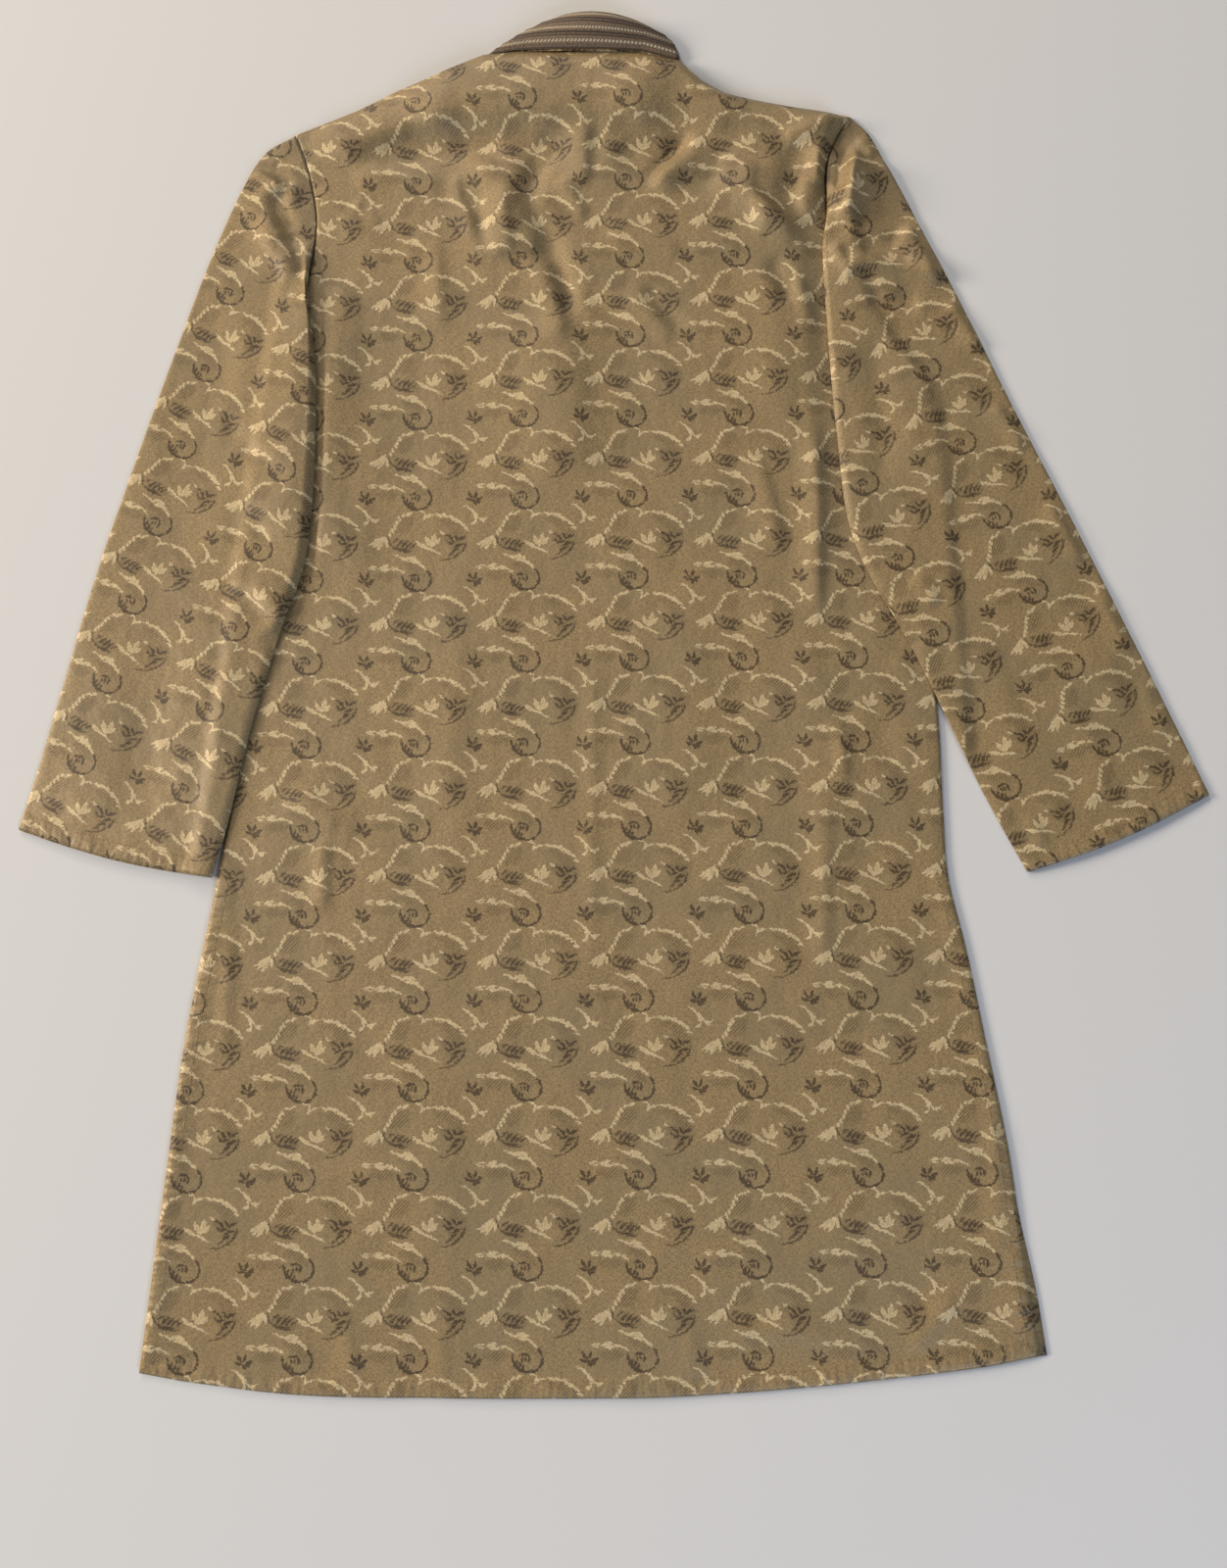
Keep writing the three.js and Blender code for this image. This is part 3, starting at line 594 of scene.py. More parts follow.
def spread(stops, value):
    """Even steps over each stretch between stops of (share of the columns, place)."""
    for (u0, p0), (u1, p1) in zip(stops, stops[1:]):
        if value <= u1 or u1 == stops[-1][0]:
            return mix(p0, p1, (value - u0) / (u1 - u0))


# ---- The body ----

def left_edge(y):
    return along(LEFT_EDGE, y)


def right_edge(y):
    return along(RIGHT_EDGE, y)


def top_line(x):
    return straight(TOP_LINE, x)


def body_point(across, up, top=top_line):
    def height(share):
        return mix(along(HEM_LINE, share), top(mix(SHOULDER_LEFT, SHOULDER_RIGHT, share)), up)
    return mix(left_edge(height(0)), right_edge(height(1)), across), height(across)


def sleeve_reach(sleeve, y):
    """How far in a sleeve reaches over the body at a height."""
    last = sleeve[-1]
    if y > last.in_y + SLEEVE_CALM:
        return math.copysign(math.inf, last.in_x)
    rows = [(station.in_y, station.in_x) for station in sleeve]
    return along(rows, min(last.in_y, max(y, sleeve[0].in_y)))


def back_rise(x, y):
    """How far the back stands up off the front at a point."""
    from_top = top_line(x) - y
    calm = (smooth(0, LEFT_EDGE_CALM, x - left_edge(y)) * smooth(0, EDGE_CALM, right_edge(y) - x)
            * smooth(0, EDGE_CALM, from_top))
    bare = (smooth(0, LEFT_BARE, x - sleeve_reach(LEFT_SLEEVE, y))
            * smooth(0, SLEEVE_CALM, sleeve_reach(RIGHT_SLEEVE, y) - x))
    near_neck = (smooth(NECK_LEFT - NECK_LIFT_REACH, NECK_LEFT, x)
                 * smooth(NECK_RIGHT + NECK_LIFT_REACH, NECK_RIGHT, x)
                 * smooth(NECK_LIFT_REACH, 0, from_top))
    folds = relief(BACK_FOLDS, BACK_CREASES, x, y)
    slack = slackness(BACK_SLACK, x, y)
    loft = (mix(LOW_LOFT, HIGH_LOFT, smooth(LOFT_START, LOFT_FULL, y))
            * smooth(LEFT_LOW, LEFT_CALM, x - max(sleeve_reach(LEFT_SLEEVE, y), left_edge(y))))
    return max(0.0, (folds + slack + loft) * calm * bare) + NECK_LIFT * near_neck


BACK_COLUMNS = 186
BACK_ROWS = 232
COLUMN_STOPS = [
    (0, 0),
    (62 / BACK_COLUMNS, (NECK_LEFT - SHOULDER_LEFT) / (SHOULDER_RIGHT - SHOULDER_LEFT)),
    (126 / BACK_COLUMNS, (NECK_RIGHT - SHOULDER_LEFT) / (SHOULDER_RIGHT - SHOULDER_LEFT)),
    (1, 1),
]
ROW_STOPS = [(0, 0), (12 / BACK_ROWS, 0.02), (86 / BACK_ROWS, 0.39), (154 / BACK_ROWS, 0.74),
             (1, 1)]
EDGE_ROUND = 2.4                    # the turned edges round off over this distance
EDGE_DROP = 0.5
LEFT_RUN, RIGHT_RUN, FOLD_RUN = 2000, 4000, 3000     # start of each edge's run, so no two are alike


def body_rims(u, v, spot):
    """Along and in from the hem or the edge of a side slit; far from both, out of reach."""
    x, y = spot[0], spot[1]
    ways = [(y - hem_line(x), x)]
    if y < SLIT_TOP:
        ways += [(x - left_edge(y), y + LEFT_RUN), (right_edge(y) - x, y + RIGHT_RUN)]
    inward, run = min(ways)
    return (run, inward)


def hem_line(x):
    return along(HEM_LINE, clamp((x - LEFT_EDGE[0][1]) / (RIGHT_EDGE[0][1] - LEFT_EDGE[0][1])))


def on_back(x, y):
    """A point on the back's upper side."""
    inward = min(x - left_edge(y), right_edge(y) - x, top_line(x) - y, y - hem_line(x))
    edge = EDGE_DROP * (1 - smooth(0, EDGE_ROUND, inward))
    return x, y, PLY + CLOTH + back_rise(x, y) - edge


def back_panel():
    def place(u, v):
        return on_back(*body_point(spread(COLUMN_STOPS, u), spread(ROW_STOPS, v)))
    return lay_cloth("back_panel", BACK_COLUMNS, BACK_ROWS, place, grain_map(BODY_GRAIN),
                     body_rims)


FRONT_COLUMNS = 93
FRONT_ROWS = 120
PLACKET_COLUMNS = 12
PLACKET_ROWS = 80


def front_top(x):
    """The front's shoulders and its deeper neckline."""
    share = (x - NECK_LEFT) / (NECK_RIGHT - NECK_LEFT)
    dip = NECK_DIP * math.sin(math.pi * share) if 0 < share < 1 else 0
    return top_line(x) - dip


def cut_placket_slot(cloth):
    """Opens the front down its middle, where the placket lies."""
    middle = NECK_MIDDLE + LAID_AT[0]
    low_x, high_x = ((middle + side * PLACKET_WIDTH / 2) * MM for side in (-1, 1))
    low_y = (PLACKET_TOP - PLACKET_LENGTH - GAP + LAID_AT[1]) * MM
    for spot, facing in (((low_x, 0, 0), (1, 0, 0)), ((high_x, 0, 0), (1, 0, 0)),
                         ((0, low_y, 0), (0, 1, 0))):
        whole = cloth.verts[:] + cloth.edges[:] + cloth.faces[:]
        bmesh.ops.bisect_plane(cloth, geom=whole, dist=ON_CUT, plane_co=spot, plane_no=facing)
    middles = {face: face.calc_center_median() for face in cloth.faces}
    slot = [face for face, at in middles.items() if low_x < at.x < high_x and at.y > low_y]
    bmesh.ops.delete(cloth, geom=slot, context="FACES")


def front_panel():
    def place(u, v):
        x, y = body_point(spread(COLUMN_STOPS, u), v, front_top)
        over = SLIT_OVERHANG * smooth(OVERHANG_TOP, OVERHANG_FULL, y) * u
        return x + over, y, CLOTH
    return lay_cloth("front_panel", FRONT_COLUMNS, FRONT_ROWS, place, grain_map(BODY_GRAIN),
                     body_rims, shell=CLOTH, cut=cut_placket_slot)


def front_placket():
    def place(u, v):
        half = PLACKET_WIDTH / 2 - GAP
        return (NECK_MIDDLE + mix(-half, half, u), PLACKET_TOP - PLACKET_LENGTH * (1 - v), CLOTH)

    def rims(u, v, spot):
        return (spot[1], PLACKET_WIDTH * min(u, 1 - u))
    return lay_cloth("front_placket", PLACKET_COLUMNS, PLACKET_ROWS, place,
                     grain_map(BODY_GRAIN), rims, shell=CLOTH)


# ---- Stitches ----

STITCH_PITCH = 3.6
STITCH_SIZE = (2.6, 0.55, 0.4)      # length, width and height of the thread that shows
HEM_TURN = 12                       # hems, cuffs and slit edges are sewn this far in
SLIT_TURN = 9
SEAM_TURN = 6                       # and the armholes and the neck
NECK_TURN = 3
STITCH_RAISE = 0.1                  # the thread's middle lies this far over the cloth
HEM_LEVEL = -503                    # the hem's stitches run as far as the slits are apart here
seam_lines = []


def sew(spots):
    """Keeps a line of stitches, given as close points on the cloth's upper side, in mm."""
    seam_lines.append([Vector(spot) for spot in spots])


def steps(start, end, count):
    return [mix(start, end, index / count) for index in range(count + 1)]


def sew_body():
    """The hem, both slit edges and the seam round the neck."""
    hem_start, hem_end = left_edge(HEM_LEVEL) + SLIT_TURN, right_edge(HEM_LEVEL) - SLIT_TURN
    inside = steps(hem_start, hem_end, 240)
    sew([on_back(x, hem_line(x) + HEM_TURN) for x in inside])
    heights = steps(hem_line(0) + 2 * HEM_TURN + 6, SLIT_TOP, 120)
    sew([on_back(left_edge(y) + SLIT_TURN, y) for y in heights])
    sew([on_back(right_edge(y) - SLIT_TURN, y) for y in heights])
    sew([on_back(x, top_line(x) - NECK_TURN) for x in steps(NECK_LEFT + 4, NECK_RIGHT - 4, 80)])


def stitches():
    """Every line that was sewn, as short rounded threads on the cloth."""
    made = bmesh.new()
    raised = Vector((*LAID_AT, STITCH_RAISE))
    for line in seam_lines:
        gone = 0.0
        for here, after in zip(line, line[1:]):
            gone += (after - here).length
            if gone < STITCH_PITCH:
                continue
            gone -= STITCH_PITCH
            way = (after - here).normalized()
            side = Vector((0, 0, 1)).cross(way).normalized()
            turn = Matrix((way, side, way.cross(side))).transposed().to_4x4()
            middle = (here + raised) * MM
            size = Matrix.Diagonal((*(Vector(STITCH_SIZE) * MM), 1))
            bmesh.ops.create_uvsphere(made, u_segments=6, v_segments=4, radius=0.5,
                                      matrix=Matrix.Translation(middle) @ turn @ size)
    for face in made.faces:
        face.smooth = True
    return finish_mesh("stitches", made)


# ---- Tubes pressed flat: the sleeves and the collar ----

NEAR_FOLD = [0, 0.06, 0.22, 0.5, 1]     # steps round a fold, by the share of its radius


def tube_distance(column, columns, width, radius):
    """Distance from the first fold at each column: close steps round both folds."""
    turns = len(NEAR_FOLD) - 1
    if column <= turns:
        return NEAR_FOLD[column] * radius
    if column >= columns - turns:
        return width - NEAR_FOLD[columns - column] * radius
    return mix(radius, width - radius, (column - turns) / (columns - 2 * turns))


def openness(distance, width, radius):
    """How far a pressed tube opens: 0 on its folds, 1 where it lies level."""
    near = clamp(min(distance, width - distance) / radius)
    return math.sqrt(max(0.0, 1 - (1 - near) ** 2))


def flat_tube(name, columns, rings, radius, width, place, heights, threads, rims):
    """A flattened tube: the upper side from its first fold to its second, then back under."""
    around = 2 * columns

    def corner(u, v):
        step = round(u * around) % around
        upper = step <= columns
        column = step if upper else around - step
        wide = width(v)
        distance = tube_distance(column, columns, wide, radius)
        share = distance / wide
        low, high = heights(share, v)
        half = (high - low) / 2 * openness(distance, wide, radius)
        x, y = place(share, v, upper)
        middle = (low + high) / 2
        return x, y, middle + half if upper else middle - half
    return lay_cloth(name, around, rings, corner, threads, rims, closed=True)


SLEEVE_COLUMNS = 62
SLEEVE_RINGS = 176
SLEEVE_LENGTH = 600
CUFF_WIDTH = 150
FOLD_CALM = 8                       # the fold under the arm puckers this much less than the cuff


def sleeve(name, stations, folds, creases, edge, grain, roll_height, seed):
    last = stations[-1]
    outward = math.copysign(1, last.in_x)

    def ends(v):
        return [along(stations, v, column) for column in range(1, 5)]

    def place(share, v, upper=True):
        out_x, out_y, in_x, in_y = ends(v)
        chord_x, chord_y = mix(last.out_x, last.in_x, share), mix(last.out_y, last.in_y, share)
        turn = smooth(CAP_STATION, 1, v)
        bow = CUFF_BOW * math.sin(math.pi * clamp(share)) * smooth(CUFF_BOW_REACH, 0, v)
        x = mix(out_x, in_x, share) + turn * (edge(chord_y) + outward * SEAM - chord_x)
        return x, mix(out_y, in_y, share) - bow

    def width(v):
        out_x, out_y, in_x, in_y = ends(v)
        return math.hypot(out_x - in_x, out_y - in_y)

    def heights(share, v):
        x, y = place(share, v)
        outside = outward * (x - edge(y))
        low = (2 * PLY * smooth(STEP_START + STEP_RUN, STEP_START, outside)
               * smooth(last.in_y + SEAM_START + SEAM_RUN, last.in_y + SEAM_START, y))
        loose = smooth(1, SEAM_STATION, v)
        slack = slackness(SLEEVE_SLACK, x, y, seed)
        from_fold = (1 - share) * width(v)
        roll = (roll_height * mix(ROLL_AT_CUFF, 1, smooth(ROLL_LOW, ROLL_HIGH, v))
                * smooth(0, ROLL_RUN, from_fold) * smooth(ROLL_END, ROLL_RUN, from_fold))
        loft = SLEEVE_LOFT * math.sin(math.pi * clamp(share)) + roll + relief(folds, creases, x, y)
        return low, low + PLY + CLOTH + max(SLEEVE_SINK, loft + slack) * loose

    def rims(u, v, spot):
        """Along and in from the cuff, or else from the fold under the arm."""
        from_cuff = v * SLEEVE_LENGTH
        share = u * 2 if u <= 0.5 else 2 - u * 2
        from_fold = (1 - share) * width(v)
        ways = ((from_cuff, share * CUFF_WIDTH), (from_fold + FOLD_CALM, from_cuff + FOLD_RUN))
        return min(ways)[::-1]

    def on_top(share, v):
        return *place(share, v), heights(share, v)[1]

    length = math.dist((stations[0].out_x, stations[0].out_y), (last.out_x, last.out_y))
    sew([on_top(share, HEM_TURN / length) for share in steps(0.03, 0.97, 90)])
    sew([on_top(share, 1 - SEAM_TURN / length) for share in steps(0.04, 0.96, 90)])
    return flat_tube(name, SLEEVE_COLUMNS, SLEEVE_RINGS, FOLD_RADIUS, width, place, heights,
                     grain_map(grain), rims)


def collar_point(across, up):
    """A point of the collar's back half, whose foot follows the neckline."""
    left_x, left_y, right_x, right_y, arch = (along(COLLAR, up, c) for c in range(1, 6))
    foot_x = mix(COLLAR[0].left_x, COLLAR[0].right_x, across)
    foot_y = mix(COLLAR[0].left_y, COLLAR[0].right_y, across)
    x = mix(left_x, right_x, across)
    y = mix(left_y, right_y, across) + (top_line(foot_x) + SEAM - foot_y) * (1 - up)
    return x, y, PLY + CLOTH + arch * math.sin(math.pi * clamp(across)) ** ARCH_FULLNESS


BAND_COLUMNS = 56
BAND_RINGS = 26
BAND_HEIGHT = 30


def collar_band():
    def width(v):
        return collar_point(1, v)[0] - collar_point(0, v)[0]

    def place(share, v, upper):
        x, y, _ = collar_point(share, v)
        return x, y if upper else y - NECK_DIP * math.sin(math.pi * clamp(share))

    def heights(share, v):
        return 0, collar_point(share, v)[2]

    def rims(u, v, spot):
        return (spot[0], BAND_HEIGHT * min(v, 1 - v))

    return flat_tube("collar_band", BAND_COLUMNS, BAND_RINGS, COLLAR_FOLD_RADIUS, width, place,
                     heights, grain_map(COLLAR_GRAIN), rims)


TRIM_COLUMNS = 150
TRIM_ROWS = 84
TRIM_SIZE = (150, 34)               # length and height of the braid
TRIM_MARGIN = 0.012                 # shares of both that it leaves bare
TRIM_FOOT = 0.03


def cord_relief(up):
    return max(CORD_HEIGHT * math.exp(-((up - cord) / CORD_WIDTH) ** 2) for cord in TRIM_CORDS)


def collar_trim():
    def place(u, v):
        across, up = mix(TRIM_MARGIN, 1 - TRIM_MARGIN, u), mix(TRIM_FOOT, 1, v)
        x, y, z = collar_point(across, up)
        return x, y, z + TRIM_LIFT + TRIM_WALL + cord_relief(up)

    def ribs(u, v, spot):
        return (u * TRIM_SIZE[0], v * TRIM_SIZE[1])
    return lay_cloth("collar_trim", TRIM_COLUMNS, TRIM_ROWS, place, ribs, ribs, shell=TRIM_WALL)


# ---- Finishes ----

def linear(hex_colour):
    """An sRGB colour such as "#8f7c5c" as linear red, green, blue and alpha."""
    def channel(value):
        return value / 12.92 if value <= 0.04045 else ((value + 0.055) / 1.055) ** 2.4
    return [channel(int(hex_colour[i:i + 2], 16) / 255) for i in (1, 3, 5)] + [1.0]


MATHS = "ShaderNodeMath"
VECTORS = "ShaderNodeVectorMath"
NOISE = "ShaderNodeTexNoise"
SPLIT = "ShaderNodeSeparateXYZ"
FADE = "ShaderNodeMapRange"         # (value, start, end, 1, 0): 1 at start, 0 at end
SMOOTH = {"interpolation_type": "SMOOTHSTEP"}
EVERY = slice(None)                 # asks for all of a node's outputs


def add(tree, kind, sockets=(), output=None, **settings):
    """Adds a node with its settings and what its sockets hold or link to, by name or in order.
    Gives one output, or the first that is in use."""
    made = tree.nodes.new(kind)
    for name, value in settings.items():
        setattr(made, name, value)
    for key, value in sockets.items() if isinstance(sockets, dict) else enumerate(sockets):
        if isinstance(value, bpy.types.NodeSocket):
            tree.links.new(value, made.inputs[key])
        else:
            made.inputs[key].default_value = value
    if output is not None:
        return made.outputs[output]
    return next((socket for socket in made.outputs if socket.enabled), None)


def new_finish(name):
    finish = bpy.data.materials.new(name)
    finish.use_nodes = True
    tree = finish.node_tree
    tree.nodes.clear()
    return finish, tree


def layered(tree, colour, *layers):
    """A colour with others laid over it in turn, each by its own share of 0 to 1."""
    share_in, under_in, over_in, out = 0, 6, 7, 2
    for share, over in layers:
        colour = add(tree, "ShaderNodeMix", {share_in: share, under_in: colour, over_in: over},
                     out, data_type="RGBA")
    return colour


def uneven(tree, places, pitch, detail, roughness=0.5, output=None):
    """Noise with so many steps a metre along each direction."""
    at = add(tree, VECTORS, (places, pitch), operation="MULTIPLY")
    return add(tree, NOISE, {"Vector": at, "Scale": 1.0, "Detail": detail,
                             "Roughness": roughness}, output)


def stroke_field(tree, across, up, strokes):
    """How far outside the nearest stroke a thread lies, in mm, below 0 inside one. Three strokes
    share each vector node: t goes from 0 to 1 along a stroke and s is the distance beside it."""
    nearest = None
    for start in range(0, len(strokes), 3):
        trio = (strokes[start:start + 3] * 3)[:3]
        terms = []
        for stroke in trio:
            dx, dy = stroke.x1 - stroke.x0, stroke.y1 - stroke.y0
            size = math.hypot(dx, dy)
            terms.append((
                dx / size ** 2, dy / size ** 2, -(stroke.x0 * dx + stroke.y0 * dy) / size ** 2,
                -dy / size, dx / size, (stroke.x0 * dy - stroke.y0 * dx) / size,
                -4 * stroke.bow, -4 * stroke.half,
            ))
        t_x, t_y, t_0, s_x, s_y, s_0, bow, half = zip(*terms)
        t = add(tree, VECTORS, (across, t_x, t_0), operation="MULTIPLY_ADD")
        t = add(tree, VECTORS, (up, t_y, t), operation="MULTIPLY_ADD")
        s = add(tree, VECTORS, (across, s_x, s_0), operation="MULTIPLY_ADD")
        s = add(tree, VECTORS, (up, s_y, s), operation="MULTIPLY_ADD")
        rest = add(tree, VECTORS, ((1, 1, 1), t), operation="SUBTRACT")
        lens = add(tree, VECTORS, (t, rest), operation="MULTIPLY")
        s = add(tree, VECTORS, (lens, bow, s), operation="MULTIPLY_ADD")
        s = add(tree, VECTORS, (s,), operation="ABSOLUTE")
        field = add(tree, VECTORS, (lens, half, s), operation="MULTIPLY_ADD")
        if nearest is not None:
            field = add(tree, VECTORS, (nearest, field), operation="MINIMUM")
        nearest = field
    first, second, third = add(tree, SPLIT, (nearest,), EVERY)
    low = add(tree, MATHS, (first, second), operation="MINIMUM")
    return add(tree, MATHS, (low, third), operation="MINIMUM")


def window(tree, places, middle):
    """The repeat's own x and y, each three times over, in the window round one middle."""
    half = (REPEAT_ACROSS / 2, REPEAT_UP / 2)
    low = (middle[0] - half[0], middle[1] - half[1], -1)
    high = (middle[0] + half[0], middle[1] + half[1], 1)
    held = add(tree, VECTORS, (places, high, low), operation="WRAP")
    x, y, _ = add(tree, SPLIT, (held,), EVERY)
    return [add(tree, "ShaderNodeCombineXYZ", (value,) * 3) for value in (x, y)]


# How fine each unevenness of the cloth is: steps a metre across it and up it.
JAGS = (620, 620, 1)                # the figure's edges step from thread to thread
JAG_SIZE = 3.6                      # mm
SLUBS = (330, 1150, 1)              # 3 mm long, along the weft
WARP_GRAIN = (1150, 420, 1)
# the slow patches: partly tone that differs at random, partly painted sheen
TONE_AND_SHEEN_PATCHES = (14, 14, 1)
CRUMPLE = (46, 38, 1)
PUCKERS = (150, 42, 1)              # along and in from a sewn edge
PUCKERED = (0.004, 0.019)           # full as far in as this, gone here, in metres
TWILL_SLANT = (2220, -2220, 0)      # a line every 2.0 mm, coarser than the real 1.6 mm


def woven_ground(tree, uv):
    """The satin between the figures: slubs, warp grain and slow greyer patches at random, which
    also paint in part of the silk's sheen. Also gives its threads.
    """
    weft = uneven(tree, uv, SLUBS, 3.0, 0.75)
    warp = uneven(tree, uv, WARP_GRAIN, 2.0)
    weft_part = add(tree, MATHS, (weft, 0.55), operation="MULTIPLY")
    threads = add(tree, MATHS, (warp, 0.45, weft_part), operation="MULTIPLY_ADD")
    light = add(tree, FADE, (threads, 0.60, 0.40, 1, 0), **SMOOTH)
    # painted sheen: the slow greyer patches stand in partly for sheen on the silk, partly for tone
    # that differs at random
    tone_and_sheen_patch = add(tree, FADE, (uneven(tree, uv, TONE_AND_SHEEN_PATCHES, 2.0), 0.64, 0.40, 1, 0), **SMOOTH)
    tone_and_sheen_patch = add(tree, MATHS, (tone_and_sheen_patch, 0.35), operation="MULTIPLY")
    colour = layered(tree, linear("#7b6643"), (light, linear("#998259")),
                     (tone_and_sheen_patch, linear("#7d6f52")))
    return colour, threads


def twilled(tree, uv, field):
    """How dark the twill makes the ground: slanting lines inside its broad strokes."""
    slant = add(tree, VECTORS, (uv, TWILL_SLANT), "Value", operation="DOT_PRODUCT")
    slant = add(tree, MATHS, (slant,), operation="SINE")
    line = add(tree, FADE, (slant, -0.7, 0.9, 1, 0), **SMOOTH)
    inside = add(tree, FADE, (field, -2.5, 1.5, 1, 0), **SMOOTH)
    lines = add(tree, MATHS, (inside, line), operation="MULTIPLY")
    return add(tree, MATHS, (lines, 0.5), operation="MULTIPLY")


def cloth_bump(tree, uv):
    """Soft crumples all over and puckers beside each sewn edge."""
    rim = add(tree, "ShaderNodeUVMap", uv_map="rims")
    _, inward, _ = add(tree, SPLIT, (rim,), EVERY)
    near = add(tree, FADE, (inward, *PUCKERED, 1, 0), **SMOOTH)
    pucker = add(tree, MATHS, (uneven(tree, rim, PUCKERS, 1.0), near), operation="MULTIPLY")
    crumple = uneven(tree, uv, CRUMPLE, 3.0, 0.55)
    soft = add(tree, "ShaderNodeBump", {"Height": crumple, "Distance": 0.0045, "Strength": 0.35})
    return add(tree, "ShaderNodeBump", {"Height": pucker, "Distance": 0.0035, "Strength": 0.6,
                                        "Normal": soft})


def silk_jacquard(name):
    """Silk and rayon jacquard: satin whose sheen spreads across its warp, with a figure of boughs,
    leaves and swirls in pale gold and dark brown, shaded by twill."""
    finish, tree = new_finish(name)
    uv = add(tree, "ShaderNodeUVMap", uv_map="threads")
    jags = uneven(tree, uv, JAGS, 1.0, output="Color")
    shift = add(tree, VECTORS, (jags, (JAG_SIZE, JAG_SIZE, 0), (-JAG_SIZE / 2, -JAG_SIZE / 2, 0)),
                operation="MULTIPLY_ADD")
    places = add(tree, VECTORS, (uv, (1 / MM, 1 / MM, 1 / MM), shift), operation="MULTIPLY_ADD")
    across, up = window(tree, places, UPPER_WINDOW)
    upper_light = stroke_field(tree, across, up, UPPER_LIGHT)
    dark = stroke_field(tree, across, up, UPPER_DARK)
    upper_twill = stroke_field(tree, across, up, UPPER_TWILL)
    across, up = window(tree, places, LOWER_WINDOW)
    lower_light = stroke_field(tree, across, up, LOWER_LIGHT)
    leaves = stroke_field(tree, across, up, LOWER_DARK)
    shaded = stroke_field(tree, across, up, LOWER_SHADE)
    lower_twill = stroke_field(tree, across, up, LOWER_TWILL)
    light = add(tree, MATHS, (upper_light, lower_light), operation="MINIMUM")
    twill = add(tree, MATHS, (upper_twill, lower_twill), operation="MINIMUM")

    ground, threads = woven_ground(tree, uv)
    shaded = add(tree, FADE, (shaded, -2.5, 2.0, 1, 0), **SMOOTH)
    leaves = add(tree, FADE, (leaves, -0.2, 0.45, 1, 0), **SMOOTH)
    dark = add(tree, FADE, (dark, -0.15, 0.4, 1, 0), **SMOOTH)
    share = add(tree, MATHS, (shaded, 0.2), operation="MULTIPLY")
    share = add(tree, MATHS, (leaves, 0.66, share), operation="MULTIPLY_ADD")
    share = add(tree, MATHS, (dark, 0.8, share), operation="MULTIPLY_ADD")
    core = add(tree, FADE, (light, -1.4, -0.5, 1, 0), **SMOOTH)
    gold = layered(tree, linear("#cbb68b"), (core, linear("#b9a071")))
    glint = add(tree, FADE, (threads, 0.42, 0.58, 1, 0), **SMOOTH)
    glint = add(tree, MATHS, (glint, -0.34, 0.96), operation="MULTIPLY_ADD")
    lit = add(tree, FADE, (light, -0.3, 0.4, 1, 0), **SMOOTH)
    lit = add(tree, MATHS, (lit, glint), operation="MULTIPLY")
    colour = layered(tree, ground, (twilled(tree, uv, twill), linear("#4e3d22")),
                     (share, linear("#352613")), (lit, gold))
    surface = add(tree, "ShaderNodeBsdfPrincipled", {
        "Base Color": colour, "Roughness": 0.57, "Metallic": 0.12, "IOR": 1.5,
        "Specular IOR Level": 0.45, "Anisotropic": 0.5, "Anisotropic Rotation": 0.0,
        "Normal": cloth_bump(tree, uv),
        "Tangent": add(tree, "ShaderNodeTangent", direction_type="UV_MAP", uv_map="threads")})
    add(tree, "ShaderNodeOutputMaterial", {"Surface": surface})
    return finish


BRAID_ROWS = (7.2, 18.4, 31.4)      # rows of ivory stitches, mm up from the braid's lower edge
BRAID_LINES = (0.9, 12.0, 14.3, 24.2, 26.6)
BRAID_DASH = 1.6                    # half the distance from one stitch to the next
BRAID_RIBS = (500, 1800, 1)
THREAD_TWIST = (2500, 2500, 2500)


def nearest_line(tree, place, lines):
    """Distance from the nearest of some lines, in mm."""
    nearest = None
    for line in lines:
        off = add(tree, MATHS, (place, line), operation="SUBTRACT")
        off = add(tree, MATHS, (off,), operation="ABSOLUTE")
        if nearest is not None:
            off = add(tree, MATHS, (nearest, off), operation="MINIMUM")
        nearest = off
    return nearest


def woven_braid(name):
    """Matt cotton braid: fine ribs along it, dark lines in pairs, rows of small ivory stitches."""
    finish, tree = new_finish(name)
    uv = add(tree, "ShaderNodeUVMap", uv_map="threads")
    grain = uneven(tree, uv, BRAID_RIBS, 2.0)
    rib = add(tree, FADE, (grain, 0.62, 0.38, 1, 0), **SMOOTH)
    places = add(tree, VECTORS, (uv, (1 / MM, 1 / MM, 1 / MM)), operation="MULTIPLY")
    run, up, _ = add(tree, SPLIT, (places,), EVERY)
    line = nearest_line(tree, up, BRAID_LINES)
    line = add(tree, FADE, (line, 0.3, 0.9, 1, 0), **SMOOTH)
    share = add(tree, MATHS, (line, 0.85), operation="MULTIPLY")
    row = nearest_line(tree, up, BRAID_ROWS)
    row = add(tree, FADE, (row, 0.7, 1.2, 1, 0), **SMOOTH)
    dash = add(tree, MATHS, (run, BRAID_DASH), operation="PINGPONG")
    dash = add(tree, FADE, (dash, 0.75, 1.15, 1, 0), **SMOOTH)
    stitch = add(tree, MATHS, (row, dash), operation="MULTIPLY")
    colour = layered(tree, linear("#4c3b2a"), (rib, linear("#7c6850")),
                     (share, linear("#2e2115")), (stitch, linear("#b9aa8b")))
    raised = add(tree, MATHS, (grain, 0.5, stitch), operation="MULTIPLY_ADD")
    height = add(tree, MATHS, (raised, line), operation="SUBTRACT")
    bump = add(tree, "ShaderNodeBump", {"Height": height, "Distance": 0.0004, "Strength": 0.7})
    surface = add(tree, "ShaderNodeBsdfPrincipled",
                  {"Base Color": colour, "Roughness": 0.75, "Normal": bump})
    add(tree, "ShaderNodeOutputMaterial", {"Surface": surface})
    return finish


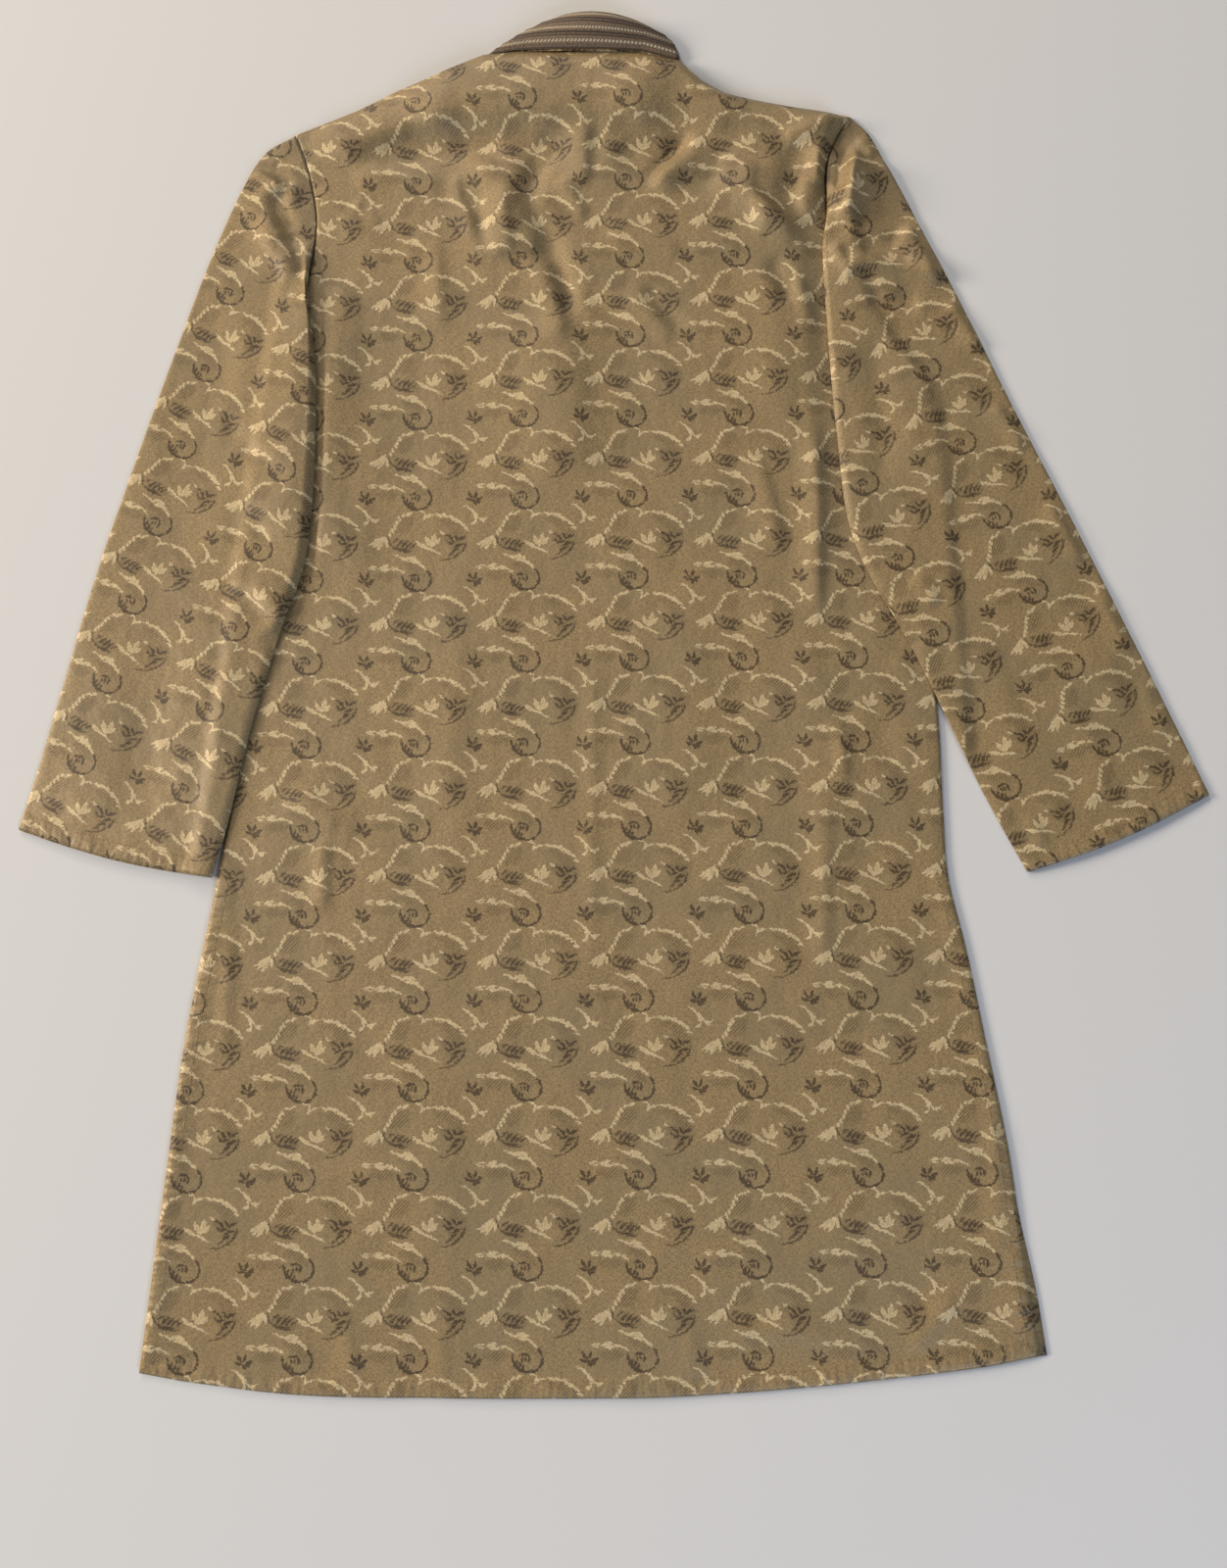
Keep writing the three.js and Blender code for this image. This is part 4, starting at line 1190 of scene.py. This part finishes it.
def sewing_thread(name):
    """Spun polyester thread: dull gold-brown, twisted."""
    finish, tree = new_finish(name)
    place = add(tree, "ShaderNodeTexCoord", output="Object")
    twist = uneven(tree, place, THREAD_TWIST, 2.0)
    colour = layered(tree, linear("#75613c"), (twist, linear("#a08a5e")))
    surface = add(tree, "ShaderNodeBsdfPrincipled", {"Base Color": colour, "Roughness": 0.6})
    add(tree, "ShaderNodeOutputMaterial", {"Surface": surface})
    return finish


def cotton_sheet(name):
    """Plain washed cotton: warm white and matt."""
    finish, tree = new_finish(name)
    surface = add(tree, "ShaderNodeBsdfPrincipled",
                  {"Base Color": linear("#cbc9c3"), "Roughness": 0.9})
    add(tree, "ShaderNodeOutputMaterial", {"Surface": surface})
    return finish


# ---- The stage ----

PICTURE = (1252, 1600)              # width and height of the view
FOCAL_PIXELS = 1300
SENSOR = 36.0
CAMERA_AT = (0.0044, -0.1861, 0.9654)
CAMERA_RIGHT = Vector((0.99992, -0.01006, -0.00520))
CAMERA_UP = Vector((0.01205, 0.99481, 0.10127))
TABLE_HALF = 3.0
TABLE_DROP = -0.0002


def set_camera():
    camera = bpy.data.cameras.new("camera")
    camera.sensor_fit = "VERTICAL"
    camera.sensor_height = SENSOR
    camera.lens = FOCAL_PIXELS / PICTURE[1] * SENSOR
    holder = bpy.data.objects.new("camera", camera)
    right = CAMERA_RIGHT.normalized()
    back = right.cross(CAMERA_UP).normalized()
    up = back.cross(right)
    turn = Matrix((right, up, back)).transposed().to_4x4()
    holder.matrix_world = Matrix.Translation(CAMERA_AT) @ turn
    bpy.context.collection.objects.link(holder)
    bpy.context.scene.camera = holder


def lay_table():
    made = bmesh.new()
    bmesh.ops.create_grid(made, x_segments=1, y_segments=1, size=TABLE_HALF)
    bmesh.ops.translate(made, vec=(0, 0, TABLE_DROP), verts=made.verts)
    table = finish_mesh("table", made)
    table.data.materials.append(cotton_sheet("washed_cotton_sheet"))


def hang_light(name, at, size, watts, colour):
    """A soft square lamp that looks at the middle of the table."""
    lamp = bpy.data.lights.new(name, "AREA")
    lamp.size = size
    lamp.energy = watts
    lamp.color = linear(colour)[:3]
    holder = bpy.data.objects.new(name, lamp)
    holder.location = at
    holder.rotation_euler = (-Vector(at)).to_track_quat("-Z", "Y").to_euler()
    bpy.context.collection.objects.link(holder)


def light_room():
    world = bpy.data.worlds.new("room")
    world.use_nodes = True
    world.node_tree.nodes["Background"].inputs[0].default_value = linear("#e8e9ec")
    world.node_tree.nodes["Background"].inputs[1].default_value = 0.24
    bpy.context.scene.world = world
    hang_light("window", (-5.2, 0.5, 2.0), 1.6, 400, "#fff3e6")
    hang_light("high_window", (-2.6, 3.0, 3.0), 1.5, 48, "#fff4e8")
    hang_light("low_window", (-1.5, 4.3, 2.1), 1.3, 76, "#fff6ee")
    hang_light("far_window", (1.6, -3.1, 1.9), 1.6, 84, "#c9dcff")
    bpy.context.scene.view_settings.view_transform = "Standard"


# ---- Putting it together ----

# What each piece was cut to, with its hems let down: width, length and area in metres, and what
# it lies on.
Cut = namedtuple("Cut", "width length area rests_on")

set_camera()
lay_table()
light_room()

jacquard = silk_jacquard("silk_jacquard")
braid = woven_braid("cotton_braid")

pieces = {
    "front_panel": front_panel(),
    "front_placket": front_placket(),
    "back_panel": back_panel(),
    "sleeve_left": sleeve("sleeve_left", LEFT_SLEEVE, LEFT_SLEEVE_FOLDS, LEFT_SLEEVE_CREASES,
                          left_edge, LEFT_GRAIN, LEFT_ROLL, 11.0),
    "sleeve_right": sleeve("sleeve_right", RIGHT_SLEEVE, RIGHT_SLEEVE_FOLDS,
                           RIGHT_SLEEVE_CREASES, right_edge, RIGHT_GRAIN, RIGHT_ROLL, 23.0),
    "collar_band": collar_band(),
    "collar_trim": collar_trim(),
}
sew_body()
thread = stitches()
thread.data.materials.append(sewing_thread("polyester_thread"))
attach(thread, "root")

for node, piece in pieces.items():
    is_braid = node == "collar_trim"
    piece.name = node + "_cloth"
    piece.data.materials.append(braid if is_braid else jacquard)
    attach(piece, "root")
    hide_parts(node)
